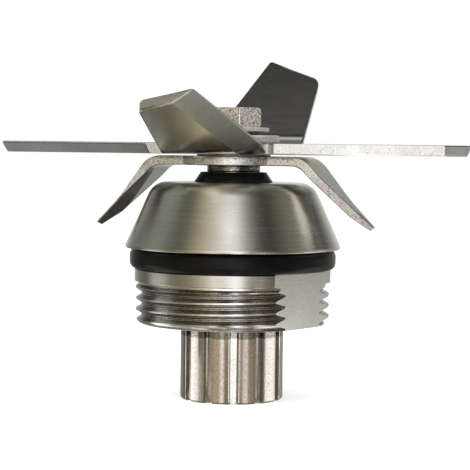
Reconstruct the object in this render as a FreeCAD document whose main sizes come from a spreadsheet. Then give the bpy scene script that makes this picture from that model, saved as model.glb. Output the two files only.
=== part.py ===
import FreeCAD, Part
import math
import os
import re
import Sketcher

# Blender blade assembly: a threaded bearing housing with a spinning shaft.
# Millimetres. Z is the shaft axis, and zero is the bottom face of the drive gear.
# The long blade arms lie near X, and the flat-bent arm points towards -Y.

SIZES = (
    ("fit_gap", 0.02, "radial gap of pieces pressed or slipped together"),
    ("running_gap", 0.06, "radial gap between a turning and a still piece"),
    ("seat_gap", 0.4, "axial gap between a turning and a still face"),
    ("cut_margin", 1.0, "how far a cutting shape stands past the metal"),
    ("cut_reach", 3.0, "how far an arm's cutting shape goes past its tip"),

    ("gear_teeth", 12, "teeth of the drive gear"),
    ("gear_tip_radius", 8.4, "over the teeth"),
    ("gear_root_radius", 7.05, "bottom of the tooth gaps"),
    ("gear_gap_width", 1.4, "tooth gap at the tips"),
    ("gear_gap_floor", 1.2, "tooth gap at the root"),
    ("gear_length", 12.9, "toothed length"),
    ("gear_hub_radius", 5.7, "hub that reaches the lower bearing"),
    ("gear_edge", 0.35, "chamfer of the gear's ends"),
    ("gear_turn", 2.7, "turn of the gear, degrees"),

    ("thread_radius", 16.0, "plain band over the thread"),
    ("thread_pitch", 1.75, "pitch of the housing thread"),
    ("thread_depth", 0.95, "depth of the housing thread"),
    ("thread_relief", 0.2, "thread crests below the plain band"),
    ("thread_crest", 0.25, "flat on the thread's crest"),
    ("thread_root", 0.35, "flat at the thread's root"),
    ("thread_clear", 0.15, "how far the thread's cutting shape stands out"),
    ("thread_length", 6.8, "threaded length"),
    ("thread_start", 1.2, "start of the thread below the lower rim"),
    ("thread_stop", 0.75, "end of the thread below the plain band"),
    ("undercut_width", 0.8, "undercut between the thread and the band"),
    ("undercut_depth", 0.5, "undercut below the thread's crests"),
    ("band_length", 2.1, "plain band above the thread"),
    ("housing_bottom", 12.3, "height of the housing's lower face"),
    ("housing_edge", 1.2, "round of the housing's lower rim"),
    ("flat_distance", 14.1, "locating flat from the axis"),
    ("flat_turn", 52.5, "turn of the flat from the front, degrees"),
    ("gasket_height", 3.4, "groove height and gasket height"),
    ("gasket_groove_depth", 1.6, "groove depth below the band"),
    ("gasket_proud", 0.8, "how far the gasket stands out"),
    ("gasket_round", 1.2, "rounding of the gasket's outside"),
    ("lip_radius", 17.5, "dome over its lower lip"),
    ("lip_height", 0.45, "straight edge of the lip"),
    ("dome_height", 10.7, "dome from its lip to its top"),
    ("dome_slope", 24, "dome side from the axis, degrees"),
    ("dome_round", 3.2, "round between side and top"),

    ("bearing_bore", 4.0, "shaft radius at the bearings"),
    ("bearing_radius", 11.0, "outer ring"),
    ("bearing_width", 7.0, "ring width"),
    ("ring_wall", 2.05, "wall of both bearing rings at their shoulders"),
    ("ball_count", 7, "balls in a bearing"),
    ("ball_radius", 1.85, "ball"),
    ("race_gap", 0.15, "gap between ball and race or cage"),
    ("cage_height", 4.4, "cage band"),
    ("cage_wall", 1.6, "cage band's wall"),
    ("shield_thickness", 0.7, "rubber shield of a bearing"),
    ("shield_inset", 0.3, "shield below the ring's face"),
    ("bearing_spacing", 3.0, "gap between the two bearings"),
    ("spacer_wall", 1.5, "wall of the two bearing spacers"),
    ("ring_thickness", 1.0, "retaining ring"),
    ("ring_width", 1.9, "retaining ring's radial width"),
    ("ring_groove_depth", 0.5, "groove of the retaining ring"),
    ("ring_groove_gap", 0.05, "axial play of the retaining ring"),
    ("ring_below", 1.5, "housing below the retaining ring"),
    ("ring_lug_radius", 1.25, "lugs of the retaining ring"),
    ("ring_lug_inset", 0.4, "lug centres inside the ring's inner edge"),
    ("ring_lug_hole", 0.6, "plier holes of the lugs"),
    ("ring_opening", 4.6, "opening between the lugs"),
    ("web_seat", 1.6, "width of the seat over the upper bearing"),

    ("seal_pocket_radius", 6.2, "pocket of the shaft seal"),
    ("seal_pocket_depth", 2.2, "pocket depth from the dome's top"),
    ("seal_base_radius", 6.45, "seal where it leaves the dome"),
    ("seal_top_radius", 5.35, "seal at its top"),
    ("seal_height", 1.65, "seal above the dome"),
    ("seal_lip", 0.8, "dished depth of the seal's top"),
    ("seal_lip_width", 0.6, "rim around the dished top"),

    ("shaft_collar_radius", 5.1, "collar over the upper bearing"),
    ("shaft_collar_height", 0.8, "height of that collar"),
    ("shoulder_rise", 0.05, "shoulder under the blades, above the seal"),
    ("spindle_radius", 3.0, "blade spindle"),
    ("spindle_across", 4.8, "across the spindle's two flats"),
    ("spindle_thread", 2.5, "thread radius of the nut"),
    ("spindle_below_nut", 0.25, "shaft end below the nut's face"),
    ("shaft_edge", 0.4, "chamfer of the shaft's ends"),

    ("collar_radius", 4.35, "spacer collar"),
    ("collar_thickness", 1.05, "spacer collar"),
    ("shim_radius", 6.0, "shim between the blades"),
    ("shim_thickness", 0.3, "shim between the blades"),
    ("wide_washer_radius", 7.4, "washer on the blades"),
    ("wide_washer_thickness", 1.3, "washer on the blades"),
    ("lock_washer_radius", 4.4, "spring washer"),
    ("lock_washer_thickness", 0.6, "spring washer"),
    ("small_washer_radius", 5.7, "washer under the nut"),
    ("small_washer_thickness", 0.65, "washer under the nut"),
    ("washer_edge", 0.15, "edge break of the washers"),
    ("nut_across", 8.0, "nut across its flats"),
    ("nut_height", 3.2, "nut"),
    ("nut_chamfer", 0.45, "corner chamfer of the nut"),
    ("nut_turn", 41.4, "turn of the nut, degrees"),

    ("blade_thickness", 1.8, "upper blade"),
    ("blade_bend", 3.0, "inner bend radius of both blades"),
    ("bend_overlap", 0.5, "flat piece of an arm inside the blade's middle"),
    ("blade_land", 0.25, "blunt land left on a ground edge"),
    ("blade_yaw", -12, "turn of the long arms, degrees"),
    ("long_tip_lead", 38.1, "long arm to its leading corner"),
    ("long_tip_lead_side", 4.6, "leading corner from the arm's middle"),
    ("long_tip_trail", 34.8, "long arm to its trailing corner"),
    ("long_tip_trail_side", 3.8, "trailing corner from the middle"),
    ("long_root_side", 6.4, "half width of the long arms at the hub"),
    ("long_root_lead", 9.2, "where the leading edge starts"),
    ("long_root_trail", 6.9, "where the trailing edge starts"),
    ("long_grind", 1.3, "width of the long arms' ground bevel"),
    ("long_grind_start", 12.4, "where that bevel starts"),
    ("raised_turn", 12, "turn of the bend lines from the long arms"),
    ("raised_offset", 9.2, "bend line from the axis"),
    ("raised_base_sharp", 4.4, "foot of the sharp edge along the bend"),
    ("raised_base_blunt", -11.5, "foot of the blunt edge along the bend"),
    ("raised_tip_sharp", -6.2, "end of the sharp edge along the bend"),
    ("raised_tip_blunt", -14.6, "end of the blunt edge along the bend"),
    ("raised_sharp_length", 16.1, "sharp corner from the bend line"),
    ("raised_blunt_length", 12.5, "blunt corner from the bend line"),
    ("raised_sharp_round", 0.6, "round of the sharp corner"),
    ("raised_blunt_round", 1.5, "round of the blunt corner"),
    ("raised_grind", 3.4, "width of the raised arms' ground bevel"),
    ("raised_low_angle", 30.3, "bend of the front arm, degrees"),
    ("raised_high_angle", 61.6, "bend of the rear arm, degrees"),
    ("notch_radius", 0.9, "relief between neighbouring arms"),

    ("lower_thickness", 1.5, "lower blade"),
    ("lower_yaw", -19.4, "turn of the lower blade, degrees"),
    ("lower_hub_radius", 8.4, "round middle of the lower blade"),
    ("lower_offset", 13.0, "bend line from the axis"),
    ("lower_angle", 47, "downward bend, degrees"),
    ("lower_side", 4.4, "half width of the lower arms"),
    ("lower_length", 15.25, "lower arm from its bend line"),
    ("lower_tip_lead", 2.1, "tip's leading side"),
    ("lower_tip_trail", 1.1, "tip's trailing side"),
    ("lower_lead_foot", 1.6, "where the leading edge starts to taper"),
    ("lower_trail_foot", 3.1, "where the trailing edge starts to taper"),
    ("lower_hollow", 9.5, "where the leading edge turns to the tip"),
    ("lower_hollow_side", 1.6, "leading edge at that turn"),
    ("lower_edge_round", 7.0, "round of both edges where they turn"),
    ("lower_grind", 2.2, "width of the lower arms' ground bevel"),
)

NEAR = 0.02  # millimetres, to find an edge by its place
ALONG = 0.99  # cosine, to find an edge by its direction

doc = FreeCAD.newDocument("blade_assembly")
sheet = doc.addObject("Spreadsheet::Sheet", "sizes")
for row, (alias, value, meaning) in enumerate(SIZES, start=1):
    sheet.set(f"A{row}", meaning)
    sheet.set(f"B{row}", str(value))
    sheet.setAlias(f"B{row}", alias)
doc.recompute()

ALIASES = re.compile(r"\b(" + "|".join(alias for alias, value, meaning in SIZES) + r")\b")


def formula(text):
    """A size formula with the sheet's name put before each size."""
    return ALIASES.sub(r"sizes.\1", str(text))


def value_of(text):
    """The present number of a size formula."""
    result = sheet.evalExpression(formula(text))
    return float(getattr(result, "Value", result))


def bind(item, prop, text):
    item.setExpression(prop, formula(text))


def place(item, x="0", y="0", z="0", turn="0", axis=(0, 0, 1)):
    """Bind an object's place, and its turn about one axis."""
    item.Placement.Rotation = FreeCAD.Rotation(FreeCAD.Vector(*axis), max(value_of(turn), 0.001))
    for name, text in (("x", x), ("y", y), ("z", z)):
        bind(item, f"Placement.Base.{name}", text)
    bind(item, "Placement.Rotation.Angle", turn)
    return item


def new_body(name):
    return doc.addObject("PartDesign::Body", name)


def origin_item(body, role):
    return next(item for item in body.Origin.OriginFeatures if item.Role == role)


def new_sketch(body, name, plane):
    sketch = body.newObject("Sketcher::SketchObject", name)
    sketch.AttachmentSupport = (origin_item(body, plane), [""])
    sketch.MapMode = "FlatFace"
    return sketch


def raise_sketch(sketch, height, turn="0"):
    """Lift a sketch to a height, and turn it about Z."""
    sketch.AttachmentOffset.Rotation = FreeCAD.Rotation(FreeCAD.Vector(0, 0, 1), 1)
    bind(sketch, "AttachmentOffset.Base.z", height)
    bind(sketch, "AttachmentOffset.Rotation.Angle", turn)


def fix_point(sketch, edge, end, x, y):
    """Hold one end of a sketch edge at two size formulas."""
    for kind, text, axis in (("DistanceX", x, -2), ("DistanceY", y, -1)):
        if text == "0":
            sketch.addConstraint(Sketcher.Constraint("PointOnObject", edge, end, axis))
            continue
        index = sketch.addConstraint(
            Sketcher.Constraint(kind, -1, 1, edge, end, value_of(text)))
        bind(sketch, f"Constraints[{index}]", text)


def draw_outline(sketch, points):
    """Draw a closed outline of straight lines through points given as formulas."""
    places = [FreeCAD.Vector(value_of(x), value_of(y), 0) for x, y in points]
    edges = [sketch.addGeometry(Part.LineSegment(start, places[(n + 1) % len(places)]), False)
             for n, start in enumerate(places)]
    for n, edge in enumerate(edges):
        following = edges[(n + 1) % len(edges)]
        sketch.addConstraint(Sketcher.Constraint("Coincident", edge, 2, following, 1))
    for edge, (x, y) in zip(edges, points):
        fix_point(sketch, edge, 1, x, y)
    return sketch


def draw_circle(sketch, x, y, radius):
    centre = FreeCAD.Vector(value_of(x), value_of(y), 0)
    edge = sketch.addGeometry(
        Part.Circle(centre, FreeCAD.Vector(0, 0, 1), value_of(radius)), False)
    fix_point(sketch, edge, 3, x, y)
    index = sketch.addConstraint(Sketcher.Constraint("Radius", edge, value_of(radius)))
    bind(sketch, f"Constraints[{index}]", radius)
    return sketch


def turned(name, points):
    """A body of revolution about Z, from its half section of radius and height."""
    body = new_body(name)
    section = draw_outline(new_sketch(body, f"{name}_section", "XZ_Plane"), points)
    turn = body.newObject("PartDesign::Revolution", f"{name}_turn")
    turn.Profile = section
    turn.ReferenceAxis = (section, ["V_Axis"])
    turn.Angle = 360
    doc.recompute()
    return body


def edges_where(item, test):
    """The names of an object's edges whose middle point passes a test."""
    found = []
    for n, edge in enumerate(item.Shape.Edges, start=1):
        middle = edge.valueAt((edge.FirstParameter + edge.LastParameter) / 2)
        if test(edge, middle):
            found.append(f"Edge{n}")
    return found


def rounded(body, name, edges, radius):
    """Fillet some edges of a body's last feature."""
    base = body.Tip
    fillet = body.newObject("PartDesign::Fillet", name)
    fillet.Base = (base, edges)
    bind(fillet, "Radius", radius)
    doc.recompute()


def round_edge(radius, height):
    """A test for the circular edges at a radius and a height."""
    def test(edge, middle):
        near = abs(math.hypot(middle.x, middle.y) - value_of(radius)) < NEAR
        return near and abs(middle.z - value_of(height)) < NEAR
    return test


def upright_edge(x, y):
    """A test for the upright edges over a point."""
    def test(edge, middle):
        near = math.hypot(middle.x - value_of(x), middle.y - value_of(y)) < NEAR
        return near and abs(edge.tangentAt(edge.FirstParameter).z) > ALONG
    return test


def slab(name, points, bottom, top):
    """A flat plate: an outline in XY between two heights."""
    body = new_body(name)
    sketch = draw_outline(new_sketch(body, f"{name}_outline", "XY_Plane"), points)
    pad = body.newObject("PartDesign::Pad", f"{name}_pad")
    pad.Profile = sketch
    raise_sketch(sketch, bottom)
    bind(pad, "Length", f"({top}) - ({bottom})")
    doc.recompute()
    return body


def repeated(body, name, feature, count):
    """Repeat a body's last feature evenly round Z."""
    pattern = body.newObject("PartDesign::PolarPattern", name)
    pattern.Originals = [feature]
    pattern.Axis = (origin_item(body, "Z_Axis"), [""])
    pattern.Angle = 360
    bind(pattern, "Occurrences", count)
    body.Tip = pattern
    doc.recompute()


def cylinder(name, radius, bottom, top, x="0", y="0"):
    item = doc.addObject("Part::Cylinder", name)
    bind(item, "Radius", radius)
    bind(item, "Height", f"({top}) - ({bottom})")
    return place(item, x, y, bottom)


def cut(name, base, tool):
    item = doc.addObject("Part::Cut", name)
    item.Base = base
    item.Tool = tool
    return item


def common(name, items):
    item = doc.addObject("Part::MultiCommon", name)
    item.Shapes = items
    return item


def fused(name, items):
    item = doc.addObject("Part::MultiFuse", name)
    item.Shapes = items
    item.Refine = True
    return item


def gathered(name, items):
    item = doc.addObject("Part::Compound", name)
    item.Links = items
    return item


# Heights of the stack, each from the piece that carries it.
band_bottom = "(housing_bottom + thread_length)"
band_top = f"({band_bottom} + band_length)"
lip_bottom = f"({band_top} + gasket_height)"
dome_top = f"({lip_bottom} + dome_height)"
ring_bottom = "(housing_bottom + ring_below)"
ring_top = f"({ring_bottom} + ring_thickness)"
lower_bearing = f"({ring_top} + ring_groove_gap)"
lower_bearing_top = f"({lower_bearing} + bearing_width)"
upper_bearing = f"({lower_bearing_top} + bearing_spacing)"
upper_bearing_top = f"({upper_bearing} + bearing_width)"
seal_bottom = f"({dome_top} - seal_pocket_depth)"
seal_top = f"({dome_top} + seal_height)"
shaft_shoulder = f"({seal_top} + shoulder_rise)"
collar_top = f"({shaft_shoulder} + collar_thickness)"
lower_top = f"({collar_top} + lower_thickness)"
blade_bottom = f"({lower_top} + shim_thickness)"
blade_top = f"({blade_bottom} + blade_thickness)"
wide_top = f"({blade_top} + wide_washer_thickness)"
lock_top = f"({wide_top} + lock_washer_thickness)"
small_top = f"({lock_top} + small_washer_thickness)"
nut_top = f"({small_top} + nut_height)"
shaft_top = f"({nut_top} - spindle_below_nut)"

# Radii that fit one piece to another.
crest_radius = "(thread_radius - thread_relief)"
undercut_floor = f"({crest_radius} - undercut_depth)"
groove_floor = "(thread_radius - gasket_groove_depth)"
ring_groove_floor = "(bearing_radius + ring_groove_depth)"
shaft_hole = "(bearing_bore + fit_gap)"
inner_ring_radius = "(bearing_bore + ring_wall)"
outer_ring_radius = "(bearing_radius - ring_wall)"
ball_circle = "((bearing_bore + bearing_radius) / 2)"
cage_inner = f"({ball_circle} - cage_wall / 2)"
cage_outer = f"({ball_circle} + cage_wall / 2)"
race_radius = "(ball_radius + race_gap)"
thread_hole = "(spindle_thread + fit_gap)"
spindle_hole = "(spindle_radius + fit_gap)"
nut_corner = "(nut_across / 2 / cos(30deg))"

nodes = []


def node(item, name):
    """Give a finished piece the name of its node."""
    item.Label = name
    nodes.append(item)
    return item


def bearing_housing():
    """The dome, gasket groove, plain band and thread, turned from one bar."""
    rim = "(lip_radius - (dome_height - lip_height) * tan(dome_slope * 1deg))"
    web_hole = "(shaft_collar_radius + seat_gap)"
    recess = "(bearing_radius - web_seat)"
    recess_top = f"{upper_bearing_top} + seat_gap"
    body = turned("housing_turned", (
        ("bearing_radius", "housing_bottom"),
        (crest_radius, "housing_bottom"),
        (crest_radius, f"{band_bottom} - undercut_width"),
        (undercut_floor, f"{band_bottom} - undercut_width + undercut_depth"),
        (undercut_floor, band_bottom),
        ("thread_radius", band_bottom),
        ("thread_radius", band_top),
        (groove_floor, band_top),
        (groove_floor, lip_bottom),
        ("lip_radius", lip_bottom),
        ("lip_radius", f"{lip_bottom} + lip_height"),
        (rim, dome_top),
        ("seal_pocket_radius", dome_top),
        ("seal_pocket_radius", seal_bottom),
        (web_hole, seal_bottom),
        (web_hole, recess_top),
        (recess, recess_top),
        (recess, upper_bearing_top),
        ("bearing_radius", upper_bearing_top),
        ("bearing_radius", lower_bearing),
        (ring_groove_floor, lower_bearing),
        (ring_groove_floor, f"{ring_bottom} - ring_groove_gap"),
        ("bearing_radius", f"{ring_bottom} - ring_groove_gap"),
    ))
    rounded(body, "dome_rounding", edges_where(body.Tip, round_edge(rim, dome_top)), "dome_round")
    lower_rim = edges_where(body.Tip, round_edge(crest_radius, "housing_bottom"))
    rounded(body, "rim_rounding", lower_rim, "housing_edge")
    cut_flat(body)
    cut_thread(body)
    node(body, "bearing_housing")


def cut_thread(body):
    """One right-hand helical groove, from below the rim up to the undercut."""
    mouth = f"{crest_radius} + thread_clear"
    floor = f"{crest_radius} - thread_depth"
    start = "(housing_bottom - thread_start)"
    flare = "((thread_pitch - thread_crest - thread_root) / 2 / thread_depth)"
    half = f"(thread_root / 2 + {flare} * (thread_depth + thread_clear))"
    groove = draw_outline(new_sketch(body, "thread_groove", "XZ_Plane"), (
        (floor, f"{start} - thread_root / 2"),
        (mouth, f"{start} - {half}"),
        (mouth, f"{start} + {half}"),
        (floor, f"{start} + thread_root / 2"),
    ))
    helix = body.newObject("PartDesign::SubtractiveHelix", "thread_cut")
    helix.Profile = groove
    helix.ReferenceAxis = (origin_item(body, "Z_Axis"), [""])
    helix.Mode = "pitch-height-angle"
    helix.Angle = 0
    bind(helix, "Pitch", "thread_pitch")
    bind(helix, "Height", "thread_start + thread_length - thread_stop")
    doc.recompute()


def cut_flat(body):
    """The locating flat across the thread and the plain band."""
    sketch = new_sketch(body, "flat_outline", "XY_Plane")
    raise_sketch(sketch, "housing_bottom - housing_edge", "flat_turn - 90")
    draw_outline(sketch, (
        ("flat_distance", "-thread_radius"),
        ("thread_radius + cut_margin", "-thread_radius"),
        ("thread_radius + cut_margin", "thread_radius"),
        ("flat_distance", "thread_radius"),
    ))
    pocket = body.newObject("PartDesign::Pocket", "locating_flat")
    pocket.Profile = sketch
    pocket.Reversed = True
    bind(pocket, "Length", f"{band_top} - housing_bottom + housing_edge")
    doc.recompute()


def gasket_ring():
    body = turned("gasket_turned", (
        (groove_floor, band_top),
        ("thread_radius + gasket_proud", band_top),
        ("thread_radius + gasket_proud", lip_bottom),
        (groove_floor, lip_bottom),
    ))
    outside = "(thread_radius + gasket_proud)"
    edges = (edges_where(body.Tip, round_edge(outside, band_top))
             + edges_where(body.Tip, round_edge(outside, lip_bottom)))
    rounded(body, "gasket_rounding", edges, "gasket_round")
    node(body, "gasket_ring")


def shaft_seal():
    """A rubber lip seal pressed into the dome's top."""
    bore = "(bearing_bore + running_gap)"
    node(turned("seal_turned", (
        (bore, seal_bottom),
        ("seal_pocket_radius", seal_bottom),
        ("seal_pocket_radius", dome_top),
        ("seal_base_radius", dome_top),
        ("seal_top_radius", seal_top),
        ("seal_top_radius - seal_lip_width", seal_top),
        (bore, f"{seal_top} - seal_lip"),
    )), "shaft_seal")


def race(body, name, middle):
    """Cut the ball groove of a bearing ring."""
    circle = draw_circle(new_sketch(body, f"{name}_race", "XZ_Plane"),
                         ball_circle, middle, race_radius)
    groove = body.newObject("PartDesign::Groove", f"{name}_groove")
    groove.Profile = circle
    groove.ReferenceAxis = (circle, ["V_Axis"])
    groove.Angle = 360
    doc.recompute()


def tube(name, inner, outer, bottom, top):
    return turned(name, ((inner, bottom), (outer, bottom), (outer, top), (inner, top)))


def cage(name, middle):
    """A band with a round window for each ball."""
    body = tube(f"{name}_band", cage_inner, cage_outer,
                f"{middle} - cage_height / 2", f"{middle} + cage_height / 2")
    window = body.newObject("PartDesign::Pocket", f"{name}_window_cut")
    window.Profile = draw_circle(new_sketch(body, f"{name}_window", "YZ_Plane"),
                                 "0", middle, race_radius)
    window.Reversed = True
    bind(window, "Length", f"{cage_outer} + cut_margin")
    doc.recompute()
    repeated(body, f"{name}_windows", window, "ball_count")
    node(body, f"{name}_cage")


def balls(name, middle):
    """The balls, evenly round the shaft."""
    spheres = []
    for n in range(round(value_of("ball_count"))):
        ball = doc.addObject("Part::Sphere", f"{name}_ball_{n + 1}")
        bind(ball, "Radius", "ball_radius")
        angle = f"({n} * 360deg / ball_count)"
        place(ball, f"{ball_circle} * cos{angle}", f"{ball_circle} * sin{angle}", middle)
        spheres.append(ball)
    node(gathered(f"{name}_ball_group", spheres), f"{name}_balls")


def bearing(name, bottom):
    """A sealed ball bearing: two rings, balls in a cage, and two rubber shields."""
    top = f"({bottom} + bearing_width)"
    middle = f"({bottom} + bearing_width / 2)"
    outer = tube(f"{name}_outer", outer_ring_radius, "bearing_radius", bottom, top)
    race(outer, f"{name}_outer", middle)
    node(outer, f"{name}_outer_ring")
    inner = tube(f"{name}_inner", shaft_hole, inner_ring_radius, bottom, top)
    race(inner, f"{name}_inner", middle)
    node(inner, f"{name}_inner_ring")
    cage(name, middle)
    balls(name, middle)
    lows = {"bottom": f"({bottom} + shield_inset)",
            "top": f"({top} - shield_inset - shield_thickness)"}
    for side, low in lows.items():
        node(tube(f"{name}_{side}_disc", f"{inner_ring_radius} + running_gap", outer_ring_radius,
                  low, f"{low} + shield_thickness"), f"{name}_{side}_shield")


def bearing_spacers():
    """Two sleeves keep the bearings apart, one on the shaft and one in the bore."""
    node(tube("outer_sleeve", "bearing_radius - spacer_wall", "bearing_radius",
              lower_bearing_top, upper_bearing), "outer_spacer")
    node(tube("inner_sleeve", shaft_hole, f"{shaft_hole} + spacer_wall",
              lower_bearing_top, upper_bearing), "inner_spacer")


def retaining_ring():
    """A spring ring under the lower bearing, open at the back between two eyes."""
    outside = f"({ring_groove_floor} - ring_groove_gap)"
    band = tube("ring_band", f"{outside} - ring_width", outside, ring_bottom, ring_top)
    reach = f"({outside} - ring_width - ring_lug_inset)"
    side = "(ring_opening / 2 + ring_lug_radius)"
    lugs = []
    holes = []
    for n, sign in enumerate(("-", "")):
        spot = (f"{sign}{side}", f"sqrt({reach}^2 - {side}^2)")
        lugs.append(cylinder(f"ring_eye_{n}", "ring_lug_radius", ring_bottom, ring_top, *spot))
        holes.append(cylinder(f"ring_eye_hole_{n}", "ring_lug_hole",
                              f"{ring_bottom} - cut_margin", f"{ring_top} + cut_margin",
                              *spot))
    opening = slab("ring_gap", (
        ("-ring_opening / 2", f"{reach} / 2"),
        ("ring_opening / 2", f"{reach} / 2"),
        ("ring_opening / 2", f"{outside} + cut_margin"),
        ("-ring_opening / 2", f"{outside} + cut_margin"),
    ), f"{ring_bottom} - cut_margin", f"{ring_top} + cut_margin")
    whole = fused("ring_with_eyes", [band] + lugs)
    node(cut("ring_open", whole, gathered("ring_openings", holes + [opening])), "retaining_ring")


def shaft():
    """A ground shaft that steps down to a flatted spindle and a thread."""
    collar_over = f"{upper_bearing_top} + shaft_collar_height"
    body = turned("shaft_turned", (
        ("0", "0"),
        ("bearing_bore - shaft_edge", "0"),
        ("bearing_bore", "shaft_edge"),
        ("bearing_bore", upper_bearing_top),
        ("shaft_collar_radius", upper_bearing_top),
        ("shaft_collar_radius", collar_over),
        ("bearing_bore", collar_over),
        ("bearing_bore", shaft_shoulder),
        ("spindle_radius", shaft_shoulder),
        ("spindle_radius", wide_top),
        ("spindle_thread", wide_top),
        ("spindle_thread", f"{shaft_top} - shaft_edge"),
        ("spindle_thread - shaft_edge", shaft_top),
        ("0", shaft_top),
    ))
    sketch = new_sketch(body, "spindle_flats", "XY_Plane")
    raise_sketch(sketch, shaft_shoulder, "blade_yaw")
    for side in ("", "-"):
        draw_outline(sketch, (
            ("-spindle_radius", f"{side}spindle_across / 2"),
            ("spindle_radius", f"{side}spindle_across / 2"),
            ("spindle_radius", f"{side}(spindle_radius + cut_margin)"),
            ("-spindle_radius", f"{side}(spindle_radius + cut_margin)"),
        ))
    pocket = body.newObject("PartDesign::Pocket", "spindle_flat_cuts")
    pocket.Profile = sketch
    pocket.Reversed = True
    bind(pocket, "Length", f"{wide_top} - {shaft_shoulder}")
    doc.recompute()
    node(body, "shaft")


def drive_gear():
    """A splined gear with shallow gaps, pressed on the shaft's lower end."""
    body = turned("gear_turned", (
        (shaft_hole, "0"),
        ("gear_tip_radius - gear_edge", "0"),
        ("gear_tip_radius", "gear_edge"),
        ("gear_tip_radius", "gear_length - gear_edge"),
        ("gear_tip_radius - gear_edge", "gear_length"),
        ("gear_hub_radius", "gear_length"),
        ("gear_hub_radius", lower_bearing),
        (shaft_hole, lower_bearing),
    ))
    outer = "(gear_tip_radius + cut_margin)"
    flare = "((gear_gap_width - gear_gap_floor) / (gear_tip_radius - gear_root_radius) / 2)"
    half = f"(gear_gap_width / 2 + {flare} * cut_margin)"
    sketch = draw_outline(new_sketch(body, "gear_gap", "XY_Plane"), (
        ("-gear_gap_floor / 2", "-gear_root_radius"),
        ("gear_gap_floor / 2", "-gear_root_radius"),
        (half, f"-{outer}"),
        (f"-{half}", f"-{outer}"),
    ))
    raise_sketch(sketch, "gear_length", "gear_turn")
    pocket = body.newObject("PartDesign::Pocket", "gear_gap_cut")
    pocket.Profile = sketch
    bind(pocket, "Length", "gear_length + cut_margin")
    doc.recompute()
    repeated(body, "gear_gaps", pocket, "gear_teeth")
    node(body, "drive_gear")


def washer(name, hole, radius, bottom, top):
    node(turned(f"{name}_turned", (
        (hole, bottom),
        (f"{radius} - washer_edge", bottom),
        (radius, f"{bottom} + washer_edge"),
        (radius, f"{top} - washer_edge"),
        (f"{radius} - washer_edge", top),
        (hole, top),
    )), name)


def washers():
    """The collar, the shim and the three washers of the blade stack."""
    washer("blade_collar", spindle_hole, "collar_radius", shaft_shoulder, collar_top)
    node(tube("shim_turned", spindle_hole, "shim_radius", lower_top, blade_bottom), "blade_shim")
    washer("wide_washer", spindle_hole, "wide_washer_radius", blade_top, wide_top)
    washer("lock_washer", thread_hole, "lock_washer_radius", wide_top, lock_top)
    washer("small_washer", thread_hole, "small_washer_radius", lock_top, small_top)


def blade_nut():
    """A hexagon nut with both rims chamfered."""
    rise = "(nut_chamfer * tan(30deg))"
    blank = turned("nut_turned", (
        (thread_hole, small_top),
        (f"{nut_corner} - nut_chamfer", small_top),
        (nut_corner, f"{small_top} + {rise}"),
        (nut_corner, f"{nut_top} - {rise}"),
        (f"{nut_corner} - nut_chamfer", nut_top),
        (thread_hole, nut_top),
    ))
    prism = doc.addObject("Part::Prism", "nut_prism")
    prism.Polygon = 6
    bind(prism, "Circumradius", nut_corner)
    bind(prism, "Height", "nut_height")
    place(prism, z=small_top, turn="nut_turn")
    node(common("nut_shaped", [blank, prism]), "blade_nut")


def line_at(start, end, across):
    """The Y of a line from one point to another, at an X, as a formula."""
    (x0, y0), (x1, y1) = start, end
    return f"({y0} + ({y1} - ({y0})) * ({across} - ({x0})) / ({x1} - ({x0})))"


def grinding_wedge(name, start, end, width, thickness):
    """What a grinding wheel takes from the underside; the metal lies left of the way."""
    fall = f"(({thickness} - blade_land) / {width})"
    body = new_body(name)
    section = draw_outline(new_sketch(body, f"{name}_section", "YZ_Plane"), (
        ("-cut_margin", f"-blade_land + {fall} * cut_margin"),
        ("-cut_margin", f"-{thickness} - {fall} * cut_margin"),
        (f"{width} + cut_margin", f"-{thickness} - {fall} * cut_margin"),
    ))
    pad = body.newObject("PartDesign::Pad", f"{name}_pad")
    pad.Profile = section
    pad.SideType = "Symmetric"
    (x0, y0), (x1, y1) = start, end
    run = f"({x1} - ({x0}))"
    rise = f"({y1} - ({y0}))"
    bind(pad, "Length", f"sqrt({run}^2 + {rise}^2)")
    place(body, f"(({x0}) + ({x1})) / 2", f"(({y0}) + ({y1})) / 2", turn=f"atan2({rise}; {run})")
    doc.recompute()
    return body


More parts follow.
